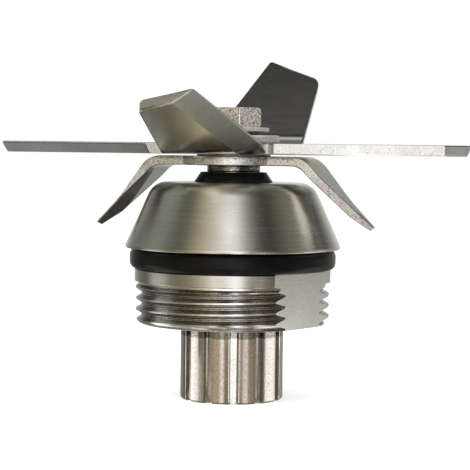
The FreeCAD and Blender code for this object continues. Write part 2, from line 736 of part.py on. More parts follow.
def bent_arm(name, outline, rounds, wedges, sheet_sizes, reach):
    """A blade arm along X, bent about a line across it.

    The outline is flat, its X measured from the bend line. Heights are below the
    blade's upper face. sheet_sizes holds the bend line's offset, the upward angle,
    the thickness, and the radius that the bend has on the upper face.
    """
    offset, angle, thickness, upper_radius = sheet_sizes
    half = f"(({angle}) * 0.5deg)"
    start = f"({offset} - {upper_radius} * abs(tan{half}) - bend_overlap)"
    lower_radius = f"({upper_radius} + {thickness} * (({angle}) > 0 ? 1 : -1))"
    lean = f"(({angle}) * 1deg)"
    section = (
        (start, "0"),
        (offset, "0"),
        (f"{offset} + {reach} * cos{lean}", f"{reach} * sin{lean}"),
        (f"{offset} + {reach} * cos{lean} + {thickness} * sin{lean}",
         f"{reach} * sin{lean} - {thickness} * cos{lean}"),
        (f"{offset} + {thickness} * tan{half}", f"-{thickness}"),
        (start, f"-{thickness}"),
    )
    strip = new_body(f"{name}_strip")
    sketch = draw_outline(new_sketch(strip, f"{name}_section", "XZ_Plane"), section)
    pad = strip.newObject("PartDesign::Pad", f"{name}_strip_pad")
    pad.Profile = sketch
    pad.SideType = "Symmetric"
    bind(pad, "Length", f"2 * {reach}")
    doc.recompute()
    for (x, z), radius in ((section[1], upper_radius), (section[4], lower_radius)):
        edges = edges_where(strip.Tip, across_edge(x, z))
        rounded(strip, f"{name}_bend_{len(strip.Group)}", edges, radius)

    blank = slab(f"{name}_blank", outline, f"-{thickness} - cut_reach", "cut_reach")
    for (x, y), radius in rounds:
        edges = edges_where(blank.Tip, upright_edge(x, y))
        rounded(blank, f"{name}_corner_{len(blank.Group)}", edges, radius)
    ground = blank
    for n, (begin, end, width) in enumerate(wedges):
        wedge = grinding_wedge(f"{name}_wedge_{n}", begin, end, width, thickness)
        ground = cut(f"{name}_ground_{n}", ground, wedge)
    place(ground, x=offset, turn=f"-({angle})", axis=(0, 1, 0))
    return common(f"{name}_bent", [strip, ground])


def across_edge(x, z):
    """A test for the edges along Y through a point."""
    def test(edge, middle):
        near = math.hypot(middle.x - value_of(x), middle.z - value_of(z)) < NEAR
        return near and abs(edge.tangentAt(edge.FirstParameter).y) > ALONG
    return test


def spindle_opening(name, bottom, top):
    """The flatted hole that drives a blade, with a little room round the spindle."""
    half = "(spindle_across / 2 + fit_gap)"
    flats = slab(f"{name}_flats", (
        ("-spindle_radius - cut_margin", f"-{half}"),
        ("spindle_radius + cut_margin", f"-{half}"),
        ("spindle_radius + cut_margin", half),
        ("-spindle_radius - cut_margin", half),
    ), f"{bottom} - cut_margin", f"{top} + cut_margin")
    place(flats, turn="blade_yaw")
    round_hole = cylinder(f"{name}_round", spindle_hole,
                          f"{bottom} - cut_margin", f"{top} + cut_margin")
    return common(f"{name}_opening", [round_hole, flats])


sharp_edge = (("0", "raised_base_sharp"), ("raised_sharp_length", "raised_tip_sharp"))
blunt_edge = (("0", "raised_base_blunt"), ("raised_blunt_length", "raised_tip_blunt"))


def raised_arm(name, angle):
    """A raised arm whose leading edge is ground sharp from below."""
    foot = "(-blade_bend - blade_thickness)"
    outline = (
        (foot, line_at(*blunt_edge, foot)),
        (foot, line_at(*sharp_edge, foot)),
        sharp_edge[1],
        blunt_edge[1],
    )
    rounds = ((sharp_edge[1], "raised_sharp_round"), (blunt_edge[1], "raised_blunt_round"))
    past = "(raised_sharp_length + cut_reach)"
    wedge = ((past, line_at(*sharp_edge, past)), (foot, line_at(*sharp_edge, foot)),
             "raised_grind")
    sizes = ("raised_offset", angle, "blade_thickness", "blade_bend")
    return bent_arm(name, outline, rounds, (wedge,), sizes, past)


def notch(edge):
    """Where a raised arm's edge line meets the long arms, from the blade's middle."""
    slope = f"(({edge[1][1]} - ({edge[0][1]})) / {edge[1][0]})"
    turn_sine = "sin(raised_turn * 1deg)"
    turn_cosine = "cos(raised_turn * 1deg)"
    beyond = (f"((raised_offset * {turn_cosine} - {edge[0][1]} * {turn_sine} - long_root_side)"
              f" / ({slope} * {turn_sine} - {turn_cosine}))")
    return f"(raised_offset + {beyond})", f"({edge[0][1]} + {slope} * {beyond})"


def long_arms():
    """The flat bar of the two long arms, each ground along its leading edge."""
    lead_tip = ("long_tip_lead", "long_tip_lead_side")
    lead_root = ("long_root_lead", "long_root_side")
    corners = (
        ("long_root_trail", "-long_root_side"),
        ("long_tip_trail", "-long_tip_trail_side"),
        lead_tip,
        lead_root,
    )
    opposite = tuple((f"-{x}", f"-({y})") for x, y in corners)
    bar = slab("long_bar", corners + opposite, "-blade_thickness", "0")
    past = "(long_tip_lead + cut_reach)"
    begin = (past, line_at(lead_root, lead_tip, past))
    end = ("long_grind_start", line_at(lead_root, lead_tip, "long_grind_start"))
    for n, sign in enumerate(("", "-")):
        wedge = grinding_wedge(f"long_wedge_{n}", *(
            (f"{sign}{x}", f"{sign}{y}") for x, y in (begin, end)),
            "long_grind", "blade_thickness")
        bar = cut(f"long_ground_{n}", bar, wedge)
    return place(bar, turn="90 - raised_turn")


def upper_blade():
    """Two long arms and two raised ones, cut and bent from one sheet.

    It is laid out with the front raised arm along X and then turned to its place.
    """
    edge_back = {"low": "(blade_bend * tan(raised_low_angle * 0.5deg))",
                 "high": "(blade_bend * tan(raised_high_angle * 0.5deg))"}
    low_x, high_x = (f"(raised_offset - {back})" for back in edge_back.values())
    low_u, high_u = (f"(-{back})" for back in edge_back.values())
    wide_notch = notch(blunt_edge)
    hub = slab("upper_hub", (
        (low_x, line_at(*sharp_edge, low_u)),
        (low_x, line_at(*blunt_edge, low_u)),
        wide_notch,
        (f"-{high_x}", f"-{line_at(*sharp_edge, high_u)}"),
        (f"-{high_x}", f"-{line_at(*blunt_edge, high_u)}"),
        tuple(f"-{place_of}" for place_of in wide_notch),
    ), "-blade_thickness", "0")
    front = raised_arm("front_arm", "raised_low_angle")
    rear = place(raised_arm("rear_arm", "raised_high_angle"), turn="180")
    whole = fused("upper_whole", [hub, long_arms(), front, rear])
    reliefs = []
    for edge in (sharp_edge, blunt_edge):
        for sign in ("", "-"):
            x, y = notch(edge)
            reliefs.append(cylinder(f"relief_{len(reliefs)}", "notch_radius",
                                    "-blade_thickness - cut_margin", "cut_margin",
                                    f"{sign}{x}", f"{sign}{y}"))
    blade = cut("upper_relieved", whole, gathered("reliefs", reliefs))
    place(blade, z=blade_top, turn="blade_yaw + raised_turn - 90")
    hole = spindle_opening("upper_hole", blade_bottom, blade_top)
    node(cut("upper_holed", blade, hole), "upper_blade")


def lower_arm(name):
    """A claw-shaped arm bent down, ground from below along its hollow leading edge."""
    foot = "(-lower_length / 2)"
    trail_foot = ("lower_trail_foot", "-lower_side")
    tip_trail = ("lower_length", "lower_tip_trail")
    tip_lead = ("lower_length", "lower_tip_lead")
    hollow = ("lower_hollow", "lower_hollow_side")
    lead_foot = ("lower_lead_foot", "lower_side")
    outline = ((foot, "-lower_side"), trail_foot, tip_trail, tip_lead, hollow, lead_foot,
               (foot, "lower_side"))
    rounds = tuple((corner, "lower_edge_round") for corner in (trail_foot, hollow, lead_foot))
    past = "(lower_length + cut_reach)"
    to_tip = ((past, line_at(hollow, tip_lead, past)), hollow, "lower_grind")
    to_foot = (hollow, lead_foot, "lower_grind")
    upper_radius = "(blade_bend + lower_thickness)"
    sizes = ("lower_offset", "-lower_angle", "lower_thickness", upper_radius)
    return bent_arm(name, outline, rounds, (to_tip, to_foot), sizes, past)


def lower_blade():
    """Two arms bent down over the dome, on a round middle."""
    upper_radius = "(blade_bend + lower_thickness)"
    bend_start = f"(lower_offset - {upper_radius} * tan(lower_angle * 0.5deg))"
    bar = slab("lower_bar", (
        (f"-{bend_start}", "-lower_side"),
        (bend_start, "-lower_side"),
        (bend_start, "lower_side"),
        (f"-{bend_start}", "lower_side"),
    ), "-lower_thickness", "0")
    middle = cylinder("lower_middle", "lower_hub_radius", "-lower_thickness", "0")
    right = lower_arm("right_arm")
    left = place(lower_arm("left_arm"), turn="180")
    whole = fused("lower_whole", [middle, bar, right, left])
    place(whole, z=lower_top, turn="lower_yaw")
    hole = spindle_opening("lower_hole", collar_top, lower_top)
    node(cut("lower_holed", whole, hole), "lower_blade")


def check_and_write():
    """Stop if anything failed, then write each piece to its own file."""
    doc.recompute()
    failed = [item.Name for item in doc.Objects
              if {"Invalid", "Error"} & set(item.State)]
    if failed:
        raise RuntimeError(f"failed objects: {failed}")
    for piece in nodes:
        if piece.Shape.isNull() or not piece.Shape.isValid() or not piece.Shape.Solids:
            raise RuntimeError(f"bad shape: {piece.Label}")
    os.makedirs("parts", exist_ok=True)
    for piece in nodes:
        piece.Shape.exportStep(f"parts/{piece.Label}.step")
        print(piece.Label, len(piece.Shape.Solids), round(piece.Shape.Volume, 1))


bearing_housing()
gasket_ring()
shaft_seal()
bearing("lower_bearing", lower_bearing)
bearing("upper_bearing", upper_bearing)
bearing_spacers()
retaining_ring()
shaft()
drive_gear()
washers()
blade_nut()
upper_blade()
lower_blade()
check_and_write()
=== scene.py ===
import math
import bmesh
import bpy
from mathutils import Euler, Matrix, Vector
from mathutils.geometry import delaunay_2d_cdt, intersect_point_line

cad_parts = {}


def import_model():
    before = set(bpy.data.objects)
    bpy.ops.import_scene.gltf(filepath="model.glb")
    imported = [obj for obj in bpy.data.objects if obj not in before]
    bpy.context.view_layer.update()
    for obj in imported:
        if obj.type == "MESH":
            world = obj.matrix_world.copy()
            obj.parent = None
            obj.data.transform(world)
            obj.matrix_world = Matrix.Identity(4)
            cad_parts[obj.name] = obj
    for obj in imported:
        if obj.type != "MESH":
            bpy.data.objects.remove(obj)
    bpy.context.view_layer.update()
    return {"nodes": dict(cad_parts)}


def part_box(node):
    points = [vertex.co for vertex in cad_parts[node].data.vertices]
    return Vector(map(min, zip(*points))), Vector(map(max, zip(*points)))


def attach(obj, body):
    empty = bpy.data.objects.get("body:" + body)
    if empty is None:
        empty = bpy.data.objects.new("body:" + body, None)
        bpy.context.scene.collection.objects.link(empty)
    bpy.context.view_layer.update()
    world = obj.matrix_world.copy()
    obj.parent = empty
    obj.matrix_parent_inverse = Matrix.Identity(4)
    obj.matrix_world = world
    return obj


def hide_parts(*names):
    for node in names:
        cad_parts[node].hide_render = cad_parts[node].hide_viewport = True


# Looks of the blender blade assembly. Sizes are in millimetres and become metres in new_piece.
# Z is the shaft axis, zero is the gear's lower face, and -Y is the photograph's front.

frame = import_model()
MM = 0.001


# Mesh helpers

def heights(node):
    """A node's lower and upper height, in millimetres."""
    low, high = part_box(node)
    return round(low[2] / MM, 4), round(high[2] / MM, 4)


def outer_radius(node):
    """The radius of a turned node, in millimetres."""
    return round(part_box(node)[1][0] / MM, 4)


def ease(value, low, high):
    """Zero below low, one above high, and a soft curve between them."""
    share = min(max((value - low) / (high - low), 0.0), 1.0)
    return share * share * (3 - 2 * share)


def turn(point, degrees):
    """A plan point turned about Z."""
    c = math.cos(math.radians(degrees))
    s = math.sin(math.radians(degrees))
    return (point[0] * c - point[1] * s, point[0] * s + point[1] * c)


def arc(centre, start, sweep, steps):
    """Points of an arc round a centre, from an offset start through a sweep in radians."""
    points = []
    for n in range(steps + 1):
        c = math.cos(sweep * n / steps)
        s = math.sin(sweep * n / steps)
        points.append((centre.x + start.x * c - start.y * s,
                       centre.y + start.x * s + start.y * c))
    return points


def arc_corner(before, corner, after, radius, steps):
    """Points of the arc that rounds a corner."""
    corner = Vector(corner)
    back = (Vector(before) - corner).normalized()
    ahead = (Vector(after) - corner).normalized()
    half = back.angle(ahead) / 2
    reach = min(radius / math.tan(half), 0.49 * (Vector(before) - corner).length,
                0.49 * (Vector(after) - corner).length)
    radius = reach * math.tan(half)
    centre = corner + (back + ahead).normalized() * (radius / math.sin(half))
    start = corner + back * reach - centre
    sweep = math.pi - 2 * half
    if back.x * ahead.y - back.y * ahead.x > 0:
        sweep = -sweep
    return arc(centre, start, sweep, steps)


def rounded_loop(corners, steps):
    """A closed loop of (x, y, radius) corners with the corners rounded."""
    points = []
    for n, (x, y, radius) in enumerate(corners):
        if radius:
            points += arc_corner(corners[n - 1][:2], (x, y),
                                 corners[(n + 1) % len(corners)][:2], radius, steps)
        else:
            points.append((x, y))
    return points


def new_object(name, data):
    """An object in the scene."""
    item = bpy.data.objects.new(name, data)
    bpy.context.scene.collection.objects.link(item)
    return item


def mesh_object(name, verts, faces, *materials):
    """A mesh object in the scene, from points in metres."""
    mesh = bpy.data.meshes.new(name)
    mesh.from_pydata(verts, [], faces)
    for material in materials:
        mesh.materials.append(material)
    return new_object(name, mesh)


def new_piece(name, verts, faces, body, slot, material, node, smooth=20, others=()):
    """Make an object from millimetre points, shade it, tie it to its body and hide its node.

    others holds further materials, each with the numbers of its faces.
    """
    piece = mesh_object(name, [Vector(v) * MM for v in verts], faces, material,
                        *(other for other, numbers in others))
    for index, (other, numbers) in enumerate(others, start=1):
        for n in numbers:
            piece.data.polygons[n].material_index = index
    work = bmesh.new()
    work.from_mesh(piece.data)
    bmesh.ops.remove_doubles(work, verts=work.verts, dist=2e-7)
    bmesh.ops.dissolve_degenerate(work, edges=work.edges, dist=1e-8)
    bmesh.ops.recalc_face_normals(work, faces=work.faces)
    if work.calc_volume(signed=True) < 0:
        bmesh.ops.reverse_faces(work, faces=work.faces)
    work.to_mesh(piece.data)
    work.free()
    shade(piece, smooth)
    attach(piece, body)
    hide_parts(node)
    return piece


def shade(piece, smooth):
    """Smooth shading but for steep edges and for the borders between two materials."""
    work = bmesh.new()
    work.from_mesh(piece.data)
    work.normal_update()
    for face in work.faces:
        face.smooth = True
    for edge in work.edges:
        faces = edge.link_faces
        if len(faces) == 2:
            fold = math.degrees(faces[0].normal.angle(faces[1].normal, 0.0))
            border = faces[0].material_index != faces[1].material_index
            edge.smooth = fold < smooth and not border
    work.to_mesh(piece.data)
    work.free()
    normals = piece.modifiers.new("even_normals", "WEIGHTED_NORMAL")
    normals.keep_sharp = True


def grid_faces(columns, rows, closed_rows=True):
    """Quads between neighbouring columns of points; a full round repeats its first column."""
    faces = []
    for i in range(columns - 1):
        for k in range(rows if closed_rows else rows - 1):
            m = (k + 1) % rows
            a, b = i * rows, (i + 1) * rows
            faces.append((a + k, b + k, b + m, a + m))
    return faces


def revolve(section_at, count, closed_rows=True, start=0.0):
    """Points and faces of a shape swept once round Z; section_at gives (radius, z) by angle."""
    verts = []
    for i in range(count + 1):
        angle = start + 2 * math.pi * i / count
        section = section_at(angle)
        verts += [(r * math.cos(angle), r * math.sin(angle), z) for r, z in section]
    return verts, grid_faces(count + 1, len(section), closed_rows)


def lathe(corners, count, steps):
    """Points and faces of a ring turned from a closed half section."""
    section = rounded_loop(corners, steps)
    return revolve(lambda angle: section, count)


def inside(point, loop):
    """Whether a plan point is inside a closed loop."""
    x, y = point
    found = False
    for (x0, y0), (x1, y1) in zip(loop, loop[1:] + loop[:1]):
        if (y0 > y) != (y1 > y) and x < x0 + (y - y0) / (y1 - y0) * (x1 - x0):
            found = not found
    return found


# Where the rings of points on a rounded edge lie: shares of the rounding, and millimetres beyond.
EDGE_RINGS = ((0, 0), (0.134, 0), (0.5, 0), (1, 0), (1, 0.05))


def inset(loop, rounds, share, extra):
    """The loop moved into the metal, each side by a share of its rounding and a bit extra."""
    moved = []
    count = len(loop)
    for n in range(count):
        here = Vector(loop[n])
        sides = []
        for start, end, rounding in ((loop[n - 1], loop[n], rounds[n - 1]),
                                     (loop[n], loop[(n + 1) % count], rounds[n])):
            way = (Vector(end) - Vector(start)).normalized()
            sides.append((Vector((-way.y, way.x)), rounding * share + extra))
        (n0, d0), (n1, d1) = sides
        cross = n0.x * n1.y - n0.y * n1.x
        if abs(cross) < 0.02:
            moved.append(here + (n0 + n1).normalized() * (d0 + d1) / 2)
        else:
            x = (d0 * n1.y - d1 * n0.y) / cross
            y = (n0.x * d1 - n1.x * d0) / cross
            moved.append(here + Vector((x, y)))
    return moved


def nearest(point, loops):
    """Distance from a plan point to the loops, and that side's rounding."""
    spot = Vector(point)
    best = (1e9, 0.0)
    for loop, rounds in loops:
        for n, start in enumerate(loop):
            end = loop[(n + 1) % len(loop)]
            share = intersect_point_line(spot, Vector(start), Vector(end))[1]
            share = min(max(share, 0.0), 1.0)
            gap = (Vector(start).lerp(Vector(end), share) - spot).length
            if gap < best[0]:
                best = (gap, rounds[n])
    return best


def sunk(gap, radius):
    """How far a rounded edge has dropped at a distance from the cut side."""
    if gap >= radius:
        return 0.0
    return radius - math.sqrt(max(radius * radius - (radius - gap) ** 2, 0))


def sheet_mesh(loops, lines, thickness, under, shape):
    """A sheet with rounded edges, from its plan loops and its crease lines.

    under(x, y) is how much the grinding took from below, and shape puts a flat point in its
    bent place. Back come the points, the faces, the ground faces with their plan places, and
    the numbers of the faces of the rolled underside and of the cut sides.
    """
    points = []
    edges = []
    for loop, rounds in loops:
        for share, extra in EDGE_RINGS:
            ring = inset(loop, rounds, share, extra)
            first = len(points)
            points += ring
            edges += [(first + n, first + (n + 1) % len(ring)) for n in range(len(ring))]
    for start, end in lines:
        points += [start, end]
        edges.append((len(points) - 2, len(points) - 1))
    found = delaunay_2d_cdt([Vector(point) for point in points], edges, [], 0, 1e-5)
    plan, triangles = found[0], found[2]
    outer = loops[0][0]
    holes = [loop for loop, rounds in loops[1:]]
    kept = []
    for triangle in triangles:
        middle = sum((plan[v] for v in triangle), Vector((0, 0))) / 3
        if inside(middle, outer) and not any(inside(middle, hole) for hole in holes):
            kept.append((triangle, middle))
    used = sorted({v for triangle, middle in kept for v in triangle})
    number = {v: n for n, v in enumerate(used)}
    top = []
    bottom = []
    for v in used:
        x, y = plan[v]
        gap, rounding = nearest((x, y), loops)
        taken = under(x, y)
        rise = sunk(gap, min(rounding, 0.4 * (thickness - taken)))
        top.append(shape(x, y, -sunk(gap, rounding)))
        bottom.append(shape(x, y, -thickness + taken + rise))
    half = len(used)
    faces = []
    ground = {}
    rolled = []
    sides = {}
    for triangle, middle in kept:
        a, b, c = (number[v] for v in triangle)
        faces.append((a, b, c))
        if under(*middle) > 0.01:
            ground[len(faces)] = middle
        else:
            rolled.append(len(faces))
        faces.append((c + half, b + half, a + half))
        for edge in ((a, b), (b, c), (c, a)):
            key = tuple(sorted(edge))
            sides[key] = None if key in sides else edge
    walls = []
    for edge in sides.values():
        if edge:
            a, b = edge
            walls.append(len(faces))
            faces.append((b, a, a + half, b + half))
    return top + bottom, faces, ground, rolled, walls


# Materials

class Look:
    """A material and the few node chains that the materials here share."""

    def __init__(self, name):
        self.material = bpy.data.materials.new(name)
        self.material.use_nodes = True
        self.tree = self.material.node_tree
        self.shader = self.tree.nodes["Principled BSDF"]
        self.place = self.node("ShaderNodeTexCoord").outputs["Object"]

    def node(self, kind, settings=None, **inputs):
        item = self.tree.nodes.new(kind)
        for key, value in (settings or {}).items():
            setattr(item, key, value)
        for key, value in inputs.items():
            self.feed(item.inputs[key.replace("_", " ")], value)
        return item

    def feed(self, socket, value):
        if isinstance(value, bpy.types.NodeSocket):
            self.tree.links.new(value, socket)
        else:
            socket.default_value = value

    def math(self, operation, a, b=0.0):
        item = self.node("ShaderNodeMath", {"operation": operation})
        self.feed(item.inputs[0], a)
        self.feed(item.inputs[1], b)
        return item.outputs[0]

    def stretched(self, x, y, z, yaw=0.0):
        """Object coordinates turned about Z and stretched."""
        return self.node("ShaderNodeMapping", Vector=self.place, Scale=(x, y, z),
                         Rotation=(0, 0, math.radians(yaw))).outputs["Vector"]

    def rings(self, slow, fast):
        """Coordinates whose noise runs round the axis, like lathe marks."""
        parts = self.node("ShaderNodeSeparateXYZ", Vector=self.place).outputs
        radius = self.math("SQRT", self.math("ADD", self.math("MULTIPLY", parts[0], parts[0]),
                                             self.math("MULTIPLY", parts[1], parts[1])))
        across = self.math("MULTIPLY", self.math("SUBTRACT", parts[2], radius), fast)
        return self.node("ShaderNodeCombineXYZ", X=self.math("MULTIPLY", parts[0], slow),
                         Y=self.math("MULTIPLY", parts[1], slow), Z=across).outputs[0]

    def noise(self, vector, scale, detail=3.0, roughness=0.55):
        return self.node("ShaderNodeTexNoise", Vector=vector, Scale=scale, Detail=detail,
                         Roughness=roughness).outputs["Fac"]

    def between(self, fac, low, high, low_at=0.3, high_at=0.7):
        """A value that goes from low to high as fac goes from low_at to high_at."""
        return self.node("ShaderNodeMapRange", Value=fac, From_Min=low_at, From_Max=high_at,
                         To_Min=low, To_Max=high).outputs[0]

    def blend(self, fac, first, second):
        item = self.node("ShaderNodeMix", {"data_type": "RGBA"})
        self.feed(item.inputs[0], fac)
        self.feed(item.inputs[6], first)
        self.feed(item.inputs[7], second)
        return item.outputs[2]

    def bump(self, height, distance, strength=1.0):
        return self.node("ShaderNodeBump", Height=height, Distance=distance,
                         Strength=strength).outputs["Normal"]

    def edges_worn_and_highlit(self):
        """One on rounded-off edges and zero on flat metal: where edge wear and painted edge
        highlight go.
        """
        rounded = self.node("ShaderNodeBevel", {"samples": 6}, Radius=0.16 * MM).outputs[0]
        here = self.node("ShaderNodeNewGeometry").outputs["Normal"]
        same = self.node("ShaderNodeVectorMath", {"operation": "DOT_PRODUCT"})
        self.feed(same.inputs[0], rounded)
        self.feed(same.inputs[1], here)
        return self.between(same.outputs["Value"], 1.0, 0.0, 0.90, 0.985)

    def set(self, **inputs):
        for key, value in inputs.items():
            self.feed(self.shader.inputs[key.replace("_", " ")], value)
        return self.material

    def only(self, shader):
        """Use another shader in place of the standard one."""
        self.tree.nodes.remove(self.shader)
        self.feed(self.tree.nodes["Material Output"].inputs["Surface"], shader.outputs[0])
        return self.material


def rgb(r, g, b):
    return (r, g, b, 1.0)


# The tone of painted shade.
PAINTED_SHADE_TONE = rgb(0.20, 0.20, 0.18)
PALE_SPOT = rgb(0.95, 0.92, 0.88)
DARK_SPOT = rgb(0.16, 0.12, 0.09)
# Edge wear together with painted highlight on rounded edges.
EDGE_WEAR_AND_HIGHLIGHT = rgb(0.93, 0.92, 0.89)


def steel(name, dark, light, rough, grain, depth, turned=False, speckle=0.0, shine=0.6,
          spot_size=0.2, spread=0.05, metal=1.0, painted_shade=None):
    """Steel between two tones: grain makes the coordinates that its fine marks follow.

    depth is that of the marks, and spread is how much the roughness varies. shine is how strongly
    the edges are lightened, partly edge wear and partly painted highlight, and speckle how strong
    the spots are. painted_shade is an axis and two places along it: painted shade, darkest at the
    first and gone at the second.
    """
    look = Look(name)
    fine = look.noise(grain(look), 1.0, 4.0, 0.65)
    broad = look.noise(look.place, 130.0)
    tone = look.blend(look.between(fine, 0.0, 1.0, 0.32, 0.68), rgb(*dark), rgb(*light))
    tone = look.blend(look.between(broad, 0.0, 0.3), tone, rgb(*(v * 0.8 for v in dark)))
    # Painted shade: darker along one axis, from the first place onwards.
    if painted_shade:
        axis, darkest, unshaded = painted_shade
        here = look.node("ShaderNodeSeparateXYZ", Vector=look.place).outputs[axis]
        tone = look.blend(look.between(here, 0.85, 0.0, darkest * MM, unshaded * MM), tone, PAINTED_SHADE_TONE)
    if speckle:
        spots = look.noise(look.place, 1.0 / (spot_size * MM), 2.0)
        tone = look.blend(look.between(spots, 0.0, speckle, 0.50, 0.62), tone, PALE_SPOT)
        tone = look.blend(look.between(spots, speckle, 0.0, 0.36, 0.46), tone, DARK_SPOT)
    # Lighten rounded edges: partly wear, partly painted edge highlight.
    tone = look.blend(look.math("MULTIPLY", look.edges_worn_and_highlit(), shine), tone, EDGE_WEAR_AND_HIGHLIGHT)
    roughness = look.math("ADD", look.between(fine, rough - spread, rough + spread),
                          look.between(broad, -0.8 * spread, spread))
    if turned:
        tangent = look.node("ShaderNodeTangent", {"direction_type": "RADIAL", "axis": "Z"})
        look.set(Anisotropic=0.75, Anisotropic_Rotation=0.25, Tangent=tangent.outputs[0])
    return look.set(Base_Color=tone, Roughness=roughness, Metallic=metal,
                    Normal=look.bump(fine, depth * MM))


def rubber(name, tone):
    """Moulded black rubber with dust in its pores."""
    look = Look(name)
    fine = look.noise(look.place, 2600.0, 2.0)
    broad = look.noise(look.place, 240.0)
    dust = look.blend(look.between(broad, 0.0, 0.5, 0.5, 0.75), rgb(tone, tone, tone * 1.05),
                      rgb(tone * 2.2, tone * 2.1, tone * 2.0))
    return look.set(Base_Color=dust, Roughness=look.between(broad, 0.26, 0.36),
                    Normal=look.bump(fine, 0.01 * MM, 0.5), Specular_IOR_Level=0.14)


def ring_grain(slow, fast):
    return lambda look: look.rings(slow, fast)


def line_grain(x, y, z, yaw=0.0):
    return lambda look: look.stretched(x, y, z, yaw)


rolled_grain = line_grain(500, 2400, 2400, 12)
ground_grain = line_grain(2600, 260, 900, 12)
sheared_grain = line_grain(2600, 2600, 500, 12)
housing_look = steel("turned_steel", (0.52, 0.51, 0.47), (0.70, 0.69, 0.65), 0.27,
                     ring_grain(60, 9000), 0.010, True)
flat_look = steel("milled_flat", (0.56, 0.55, 0.51), (0.70, 0.69, 0.65), 0.34,
                  line_grain(900, 900, 5000), 0.006)
# The cut thread: its own smoother finish, in a lighter copy of the housing's steel that paints
# highlight on crests and flanks.
thread_highlight_look = steel("thread_highlit", (0.58, 0.57, 0.53), (0.94, 0.93, 0.89), 0.16,
                    ring_grain(400, 9000), 0.0008, shine=0.9, speckle=0.3)
# Painted shade: a dark copy of the thread's steel for the groove floors and upward flanks.
groove_shade_look = steel("thread_groove", (0.05, 0.049, 0.042), (0.13, 0.127, 0.11), 0.24,
                    ring_grain(400, 9000), 0.002, shine=1.0, speckle=0.5, spot_size=0.13)
blade_look = steel("rolled_steel", (0.56, 0.555, 0.525), (0.60, 0.595, 0.565), 0.18,
                   rolled_grain, 0.0006, shine=0.35, spread=0.012)
# The upper blade's underside: the rolled steel in a much lighter copy, which is painted reflection,
# with painted shade towards -X.
lit_underside_look = steel("underside_lit_copy", (0.87, 0.84, 0.77), (0.93, 0.90, 0.82), 0.18,
                   rolled_grain, 0.0006, shine=0.35, spread=0.012, painted_shade=("X", -12.5, -8.0))
ground_look = steel("ground_steel", (0.46, 0.485, 0.445), (0.535, 0.565, 0.525), 0.33,
                    ground_grain, 0.006, shine=0.35)
# Painted shade: a darker copy of the ground steel for the long arms' bevels.
bevel_shade_look = steel("bevel_in_shade", (0.22, 0.218, 0.205), (0.28, 0.277, 0.262), 0.34,
                   ground_grain, 0.006, shine=0.2)
# Painted shade: the polished collar in a near-black tone that stands in for the dark surroundings
# it reflects, its edges fully lightened as painted highlight.
collar_shade_look = steel("shaded_collar", (0.09, 0.088, 0.08), (0.17, 0.167, 0.155), 0.12,
                    ring_grain(60, 7000), 0.003, shine=1.0, speckle=0.4)
cut_look = steel("cut_edge", (0.76, 0.76, 0.755), (0.85, 0.85, 0.85), 0.44,
                 sheared_grain, 0.008, speckle=0.35)
# The lower blade's cut sides, with painted shade along their upper edge, under the upper blade.
hub_look = steel("hub_edge", (0.72, 0.715, 0.70), (0.86, 0.86, 0.85), 0.44,
                 sheared_grain, 0.008, speckle=0.6, spot_size=0.26, painted_shade=("Z", 39.3, 38.9))
# Painted shade: a still darker copy of the ground steel for the upper blade's left bevels.
bevel_deep_shade_look = steel("bevel_in_deep_shade", (0.15, 0.149, 0.142), (0.20, 0.199, 0.19), 0.34,
                  ground_grain, 0.006, shine=0.2)
# The gear's teeth, with a painted shadow at their top, under the housing.
gear_look = steel("milled_steel", (0.62, 0.585, 0.54), (0.78, 0.76, 0.72), 0.13,
                  line_grain(3600, 3600, 40), 0.003, speckle=0.28, painted_shade=("Z", 10.55, 10.35))
bright_look = steel("ground_bright", (0.56, 0.55, 0.53), (0.70, 0.69, 0.67), 0.2,
                    ring_grain(60, 7000), 0.006, True)
washer_look = steel("washer_steel", (0.70, 0.685, 0.65), (0.86, 0.85, 0.82), 0.48,
                    ring_grain(300, 3500), 0.008, speckle=0.45, metal=0.7)
nut_look = steel("nut_steel", (0.62, 0.56, 0.48), (0.93, 0.91, 0.87), 0.22,
                 line_grain(2600, 2600, 2600), 0.02, speckle=1.0, spot_size=0.30, metal=0.74)
spring_look = steel("spring_steel", (0.10, 0.098, 0.09), (0.22, 0.21, 0.19), 0.38,
                    ring_grain(200, 5000), 0.008, shine=0.2)
rubber_look = rubber("gasket_rubber", 0.003)
seal_look = rubber("seal_rubber", 0.009)
shield_look = rubber("shield_rubber", 0.03)


def plastic():
    """The cream plastic of the ball cages."""
    look = Look("cage_plastic")
    broad = look.noise(look.place, 300.0)
    tone = look.blend(broad, rgb(0.60, 0.56, 0.45), rgb(0.70, 0.66, 0.55))
    return look.set(Base_Color=tone, Roughness=look.between(broad, 0.4, 0.55),
                    Normal=look.bump(look.noise(look.place, 3000.0), 0.01 * MM))


cage_look = plastic()


# Housing

RIM_LOW, DOME_TOP = heights("bearing_housing")
LIP_RADIUS = outer_radius("bearing_housing")
LIP_LOW = 24.6
LIP_TOP = 25.05
SHOULDER = 12.936
BORE = 11.0
BORE_TOP = 31.85
SEAL_SEAT = 6.2
SEAL_LOW = 33.1
GASKET_SEAT = 14.4
BAND = 16.0
BAND_TOP = 21.2
UNDERCUT_TOP = 19.1
UNDERCUT_LOW = 18.3
UNDERCUT_DEPTH = 0.5
PITCH = 1.75
CREST = 15.8
THREAD_DEPTH = 0.95
GROOVE_START = 11.1
GROOVE_END = 18.35
RIM_ROUND = 1.2
FLAT = 14.1
FLAT_AZIMUTH = -37.5
CLEARANCE = 0.02


def turned_radius(z):
    """The bar under the thread: a rounded rim, the crests and the undercut."""
    radius = CREST
    if z < RIM_LOW + RIM_ROUND:
        up = RIM_LOW + RIM_ROUND - z
        radius -= RIM_ROUND - math.sqrt(max(RIM_ROUND ** 2 - up ** 2, 0.0))
    return radius - min(max(z - UNDERCUT_LOW, 0.0), UNDERCUT_DEPTH)


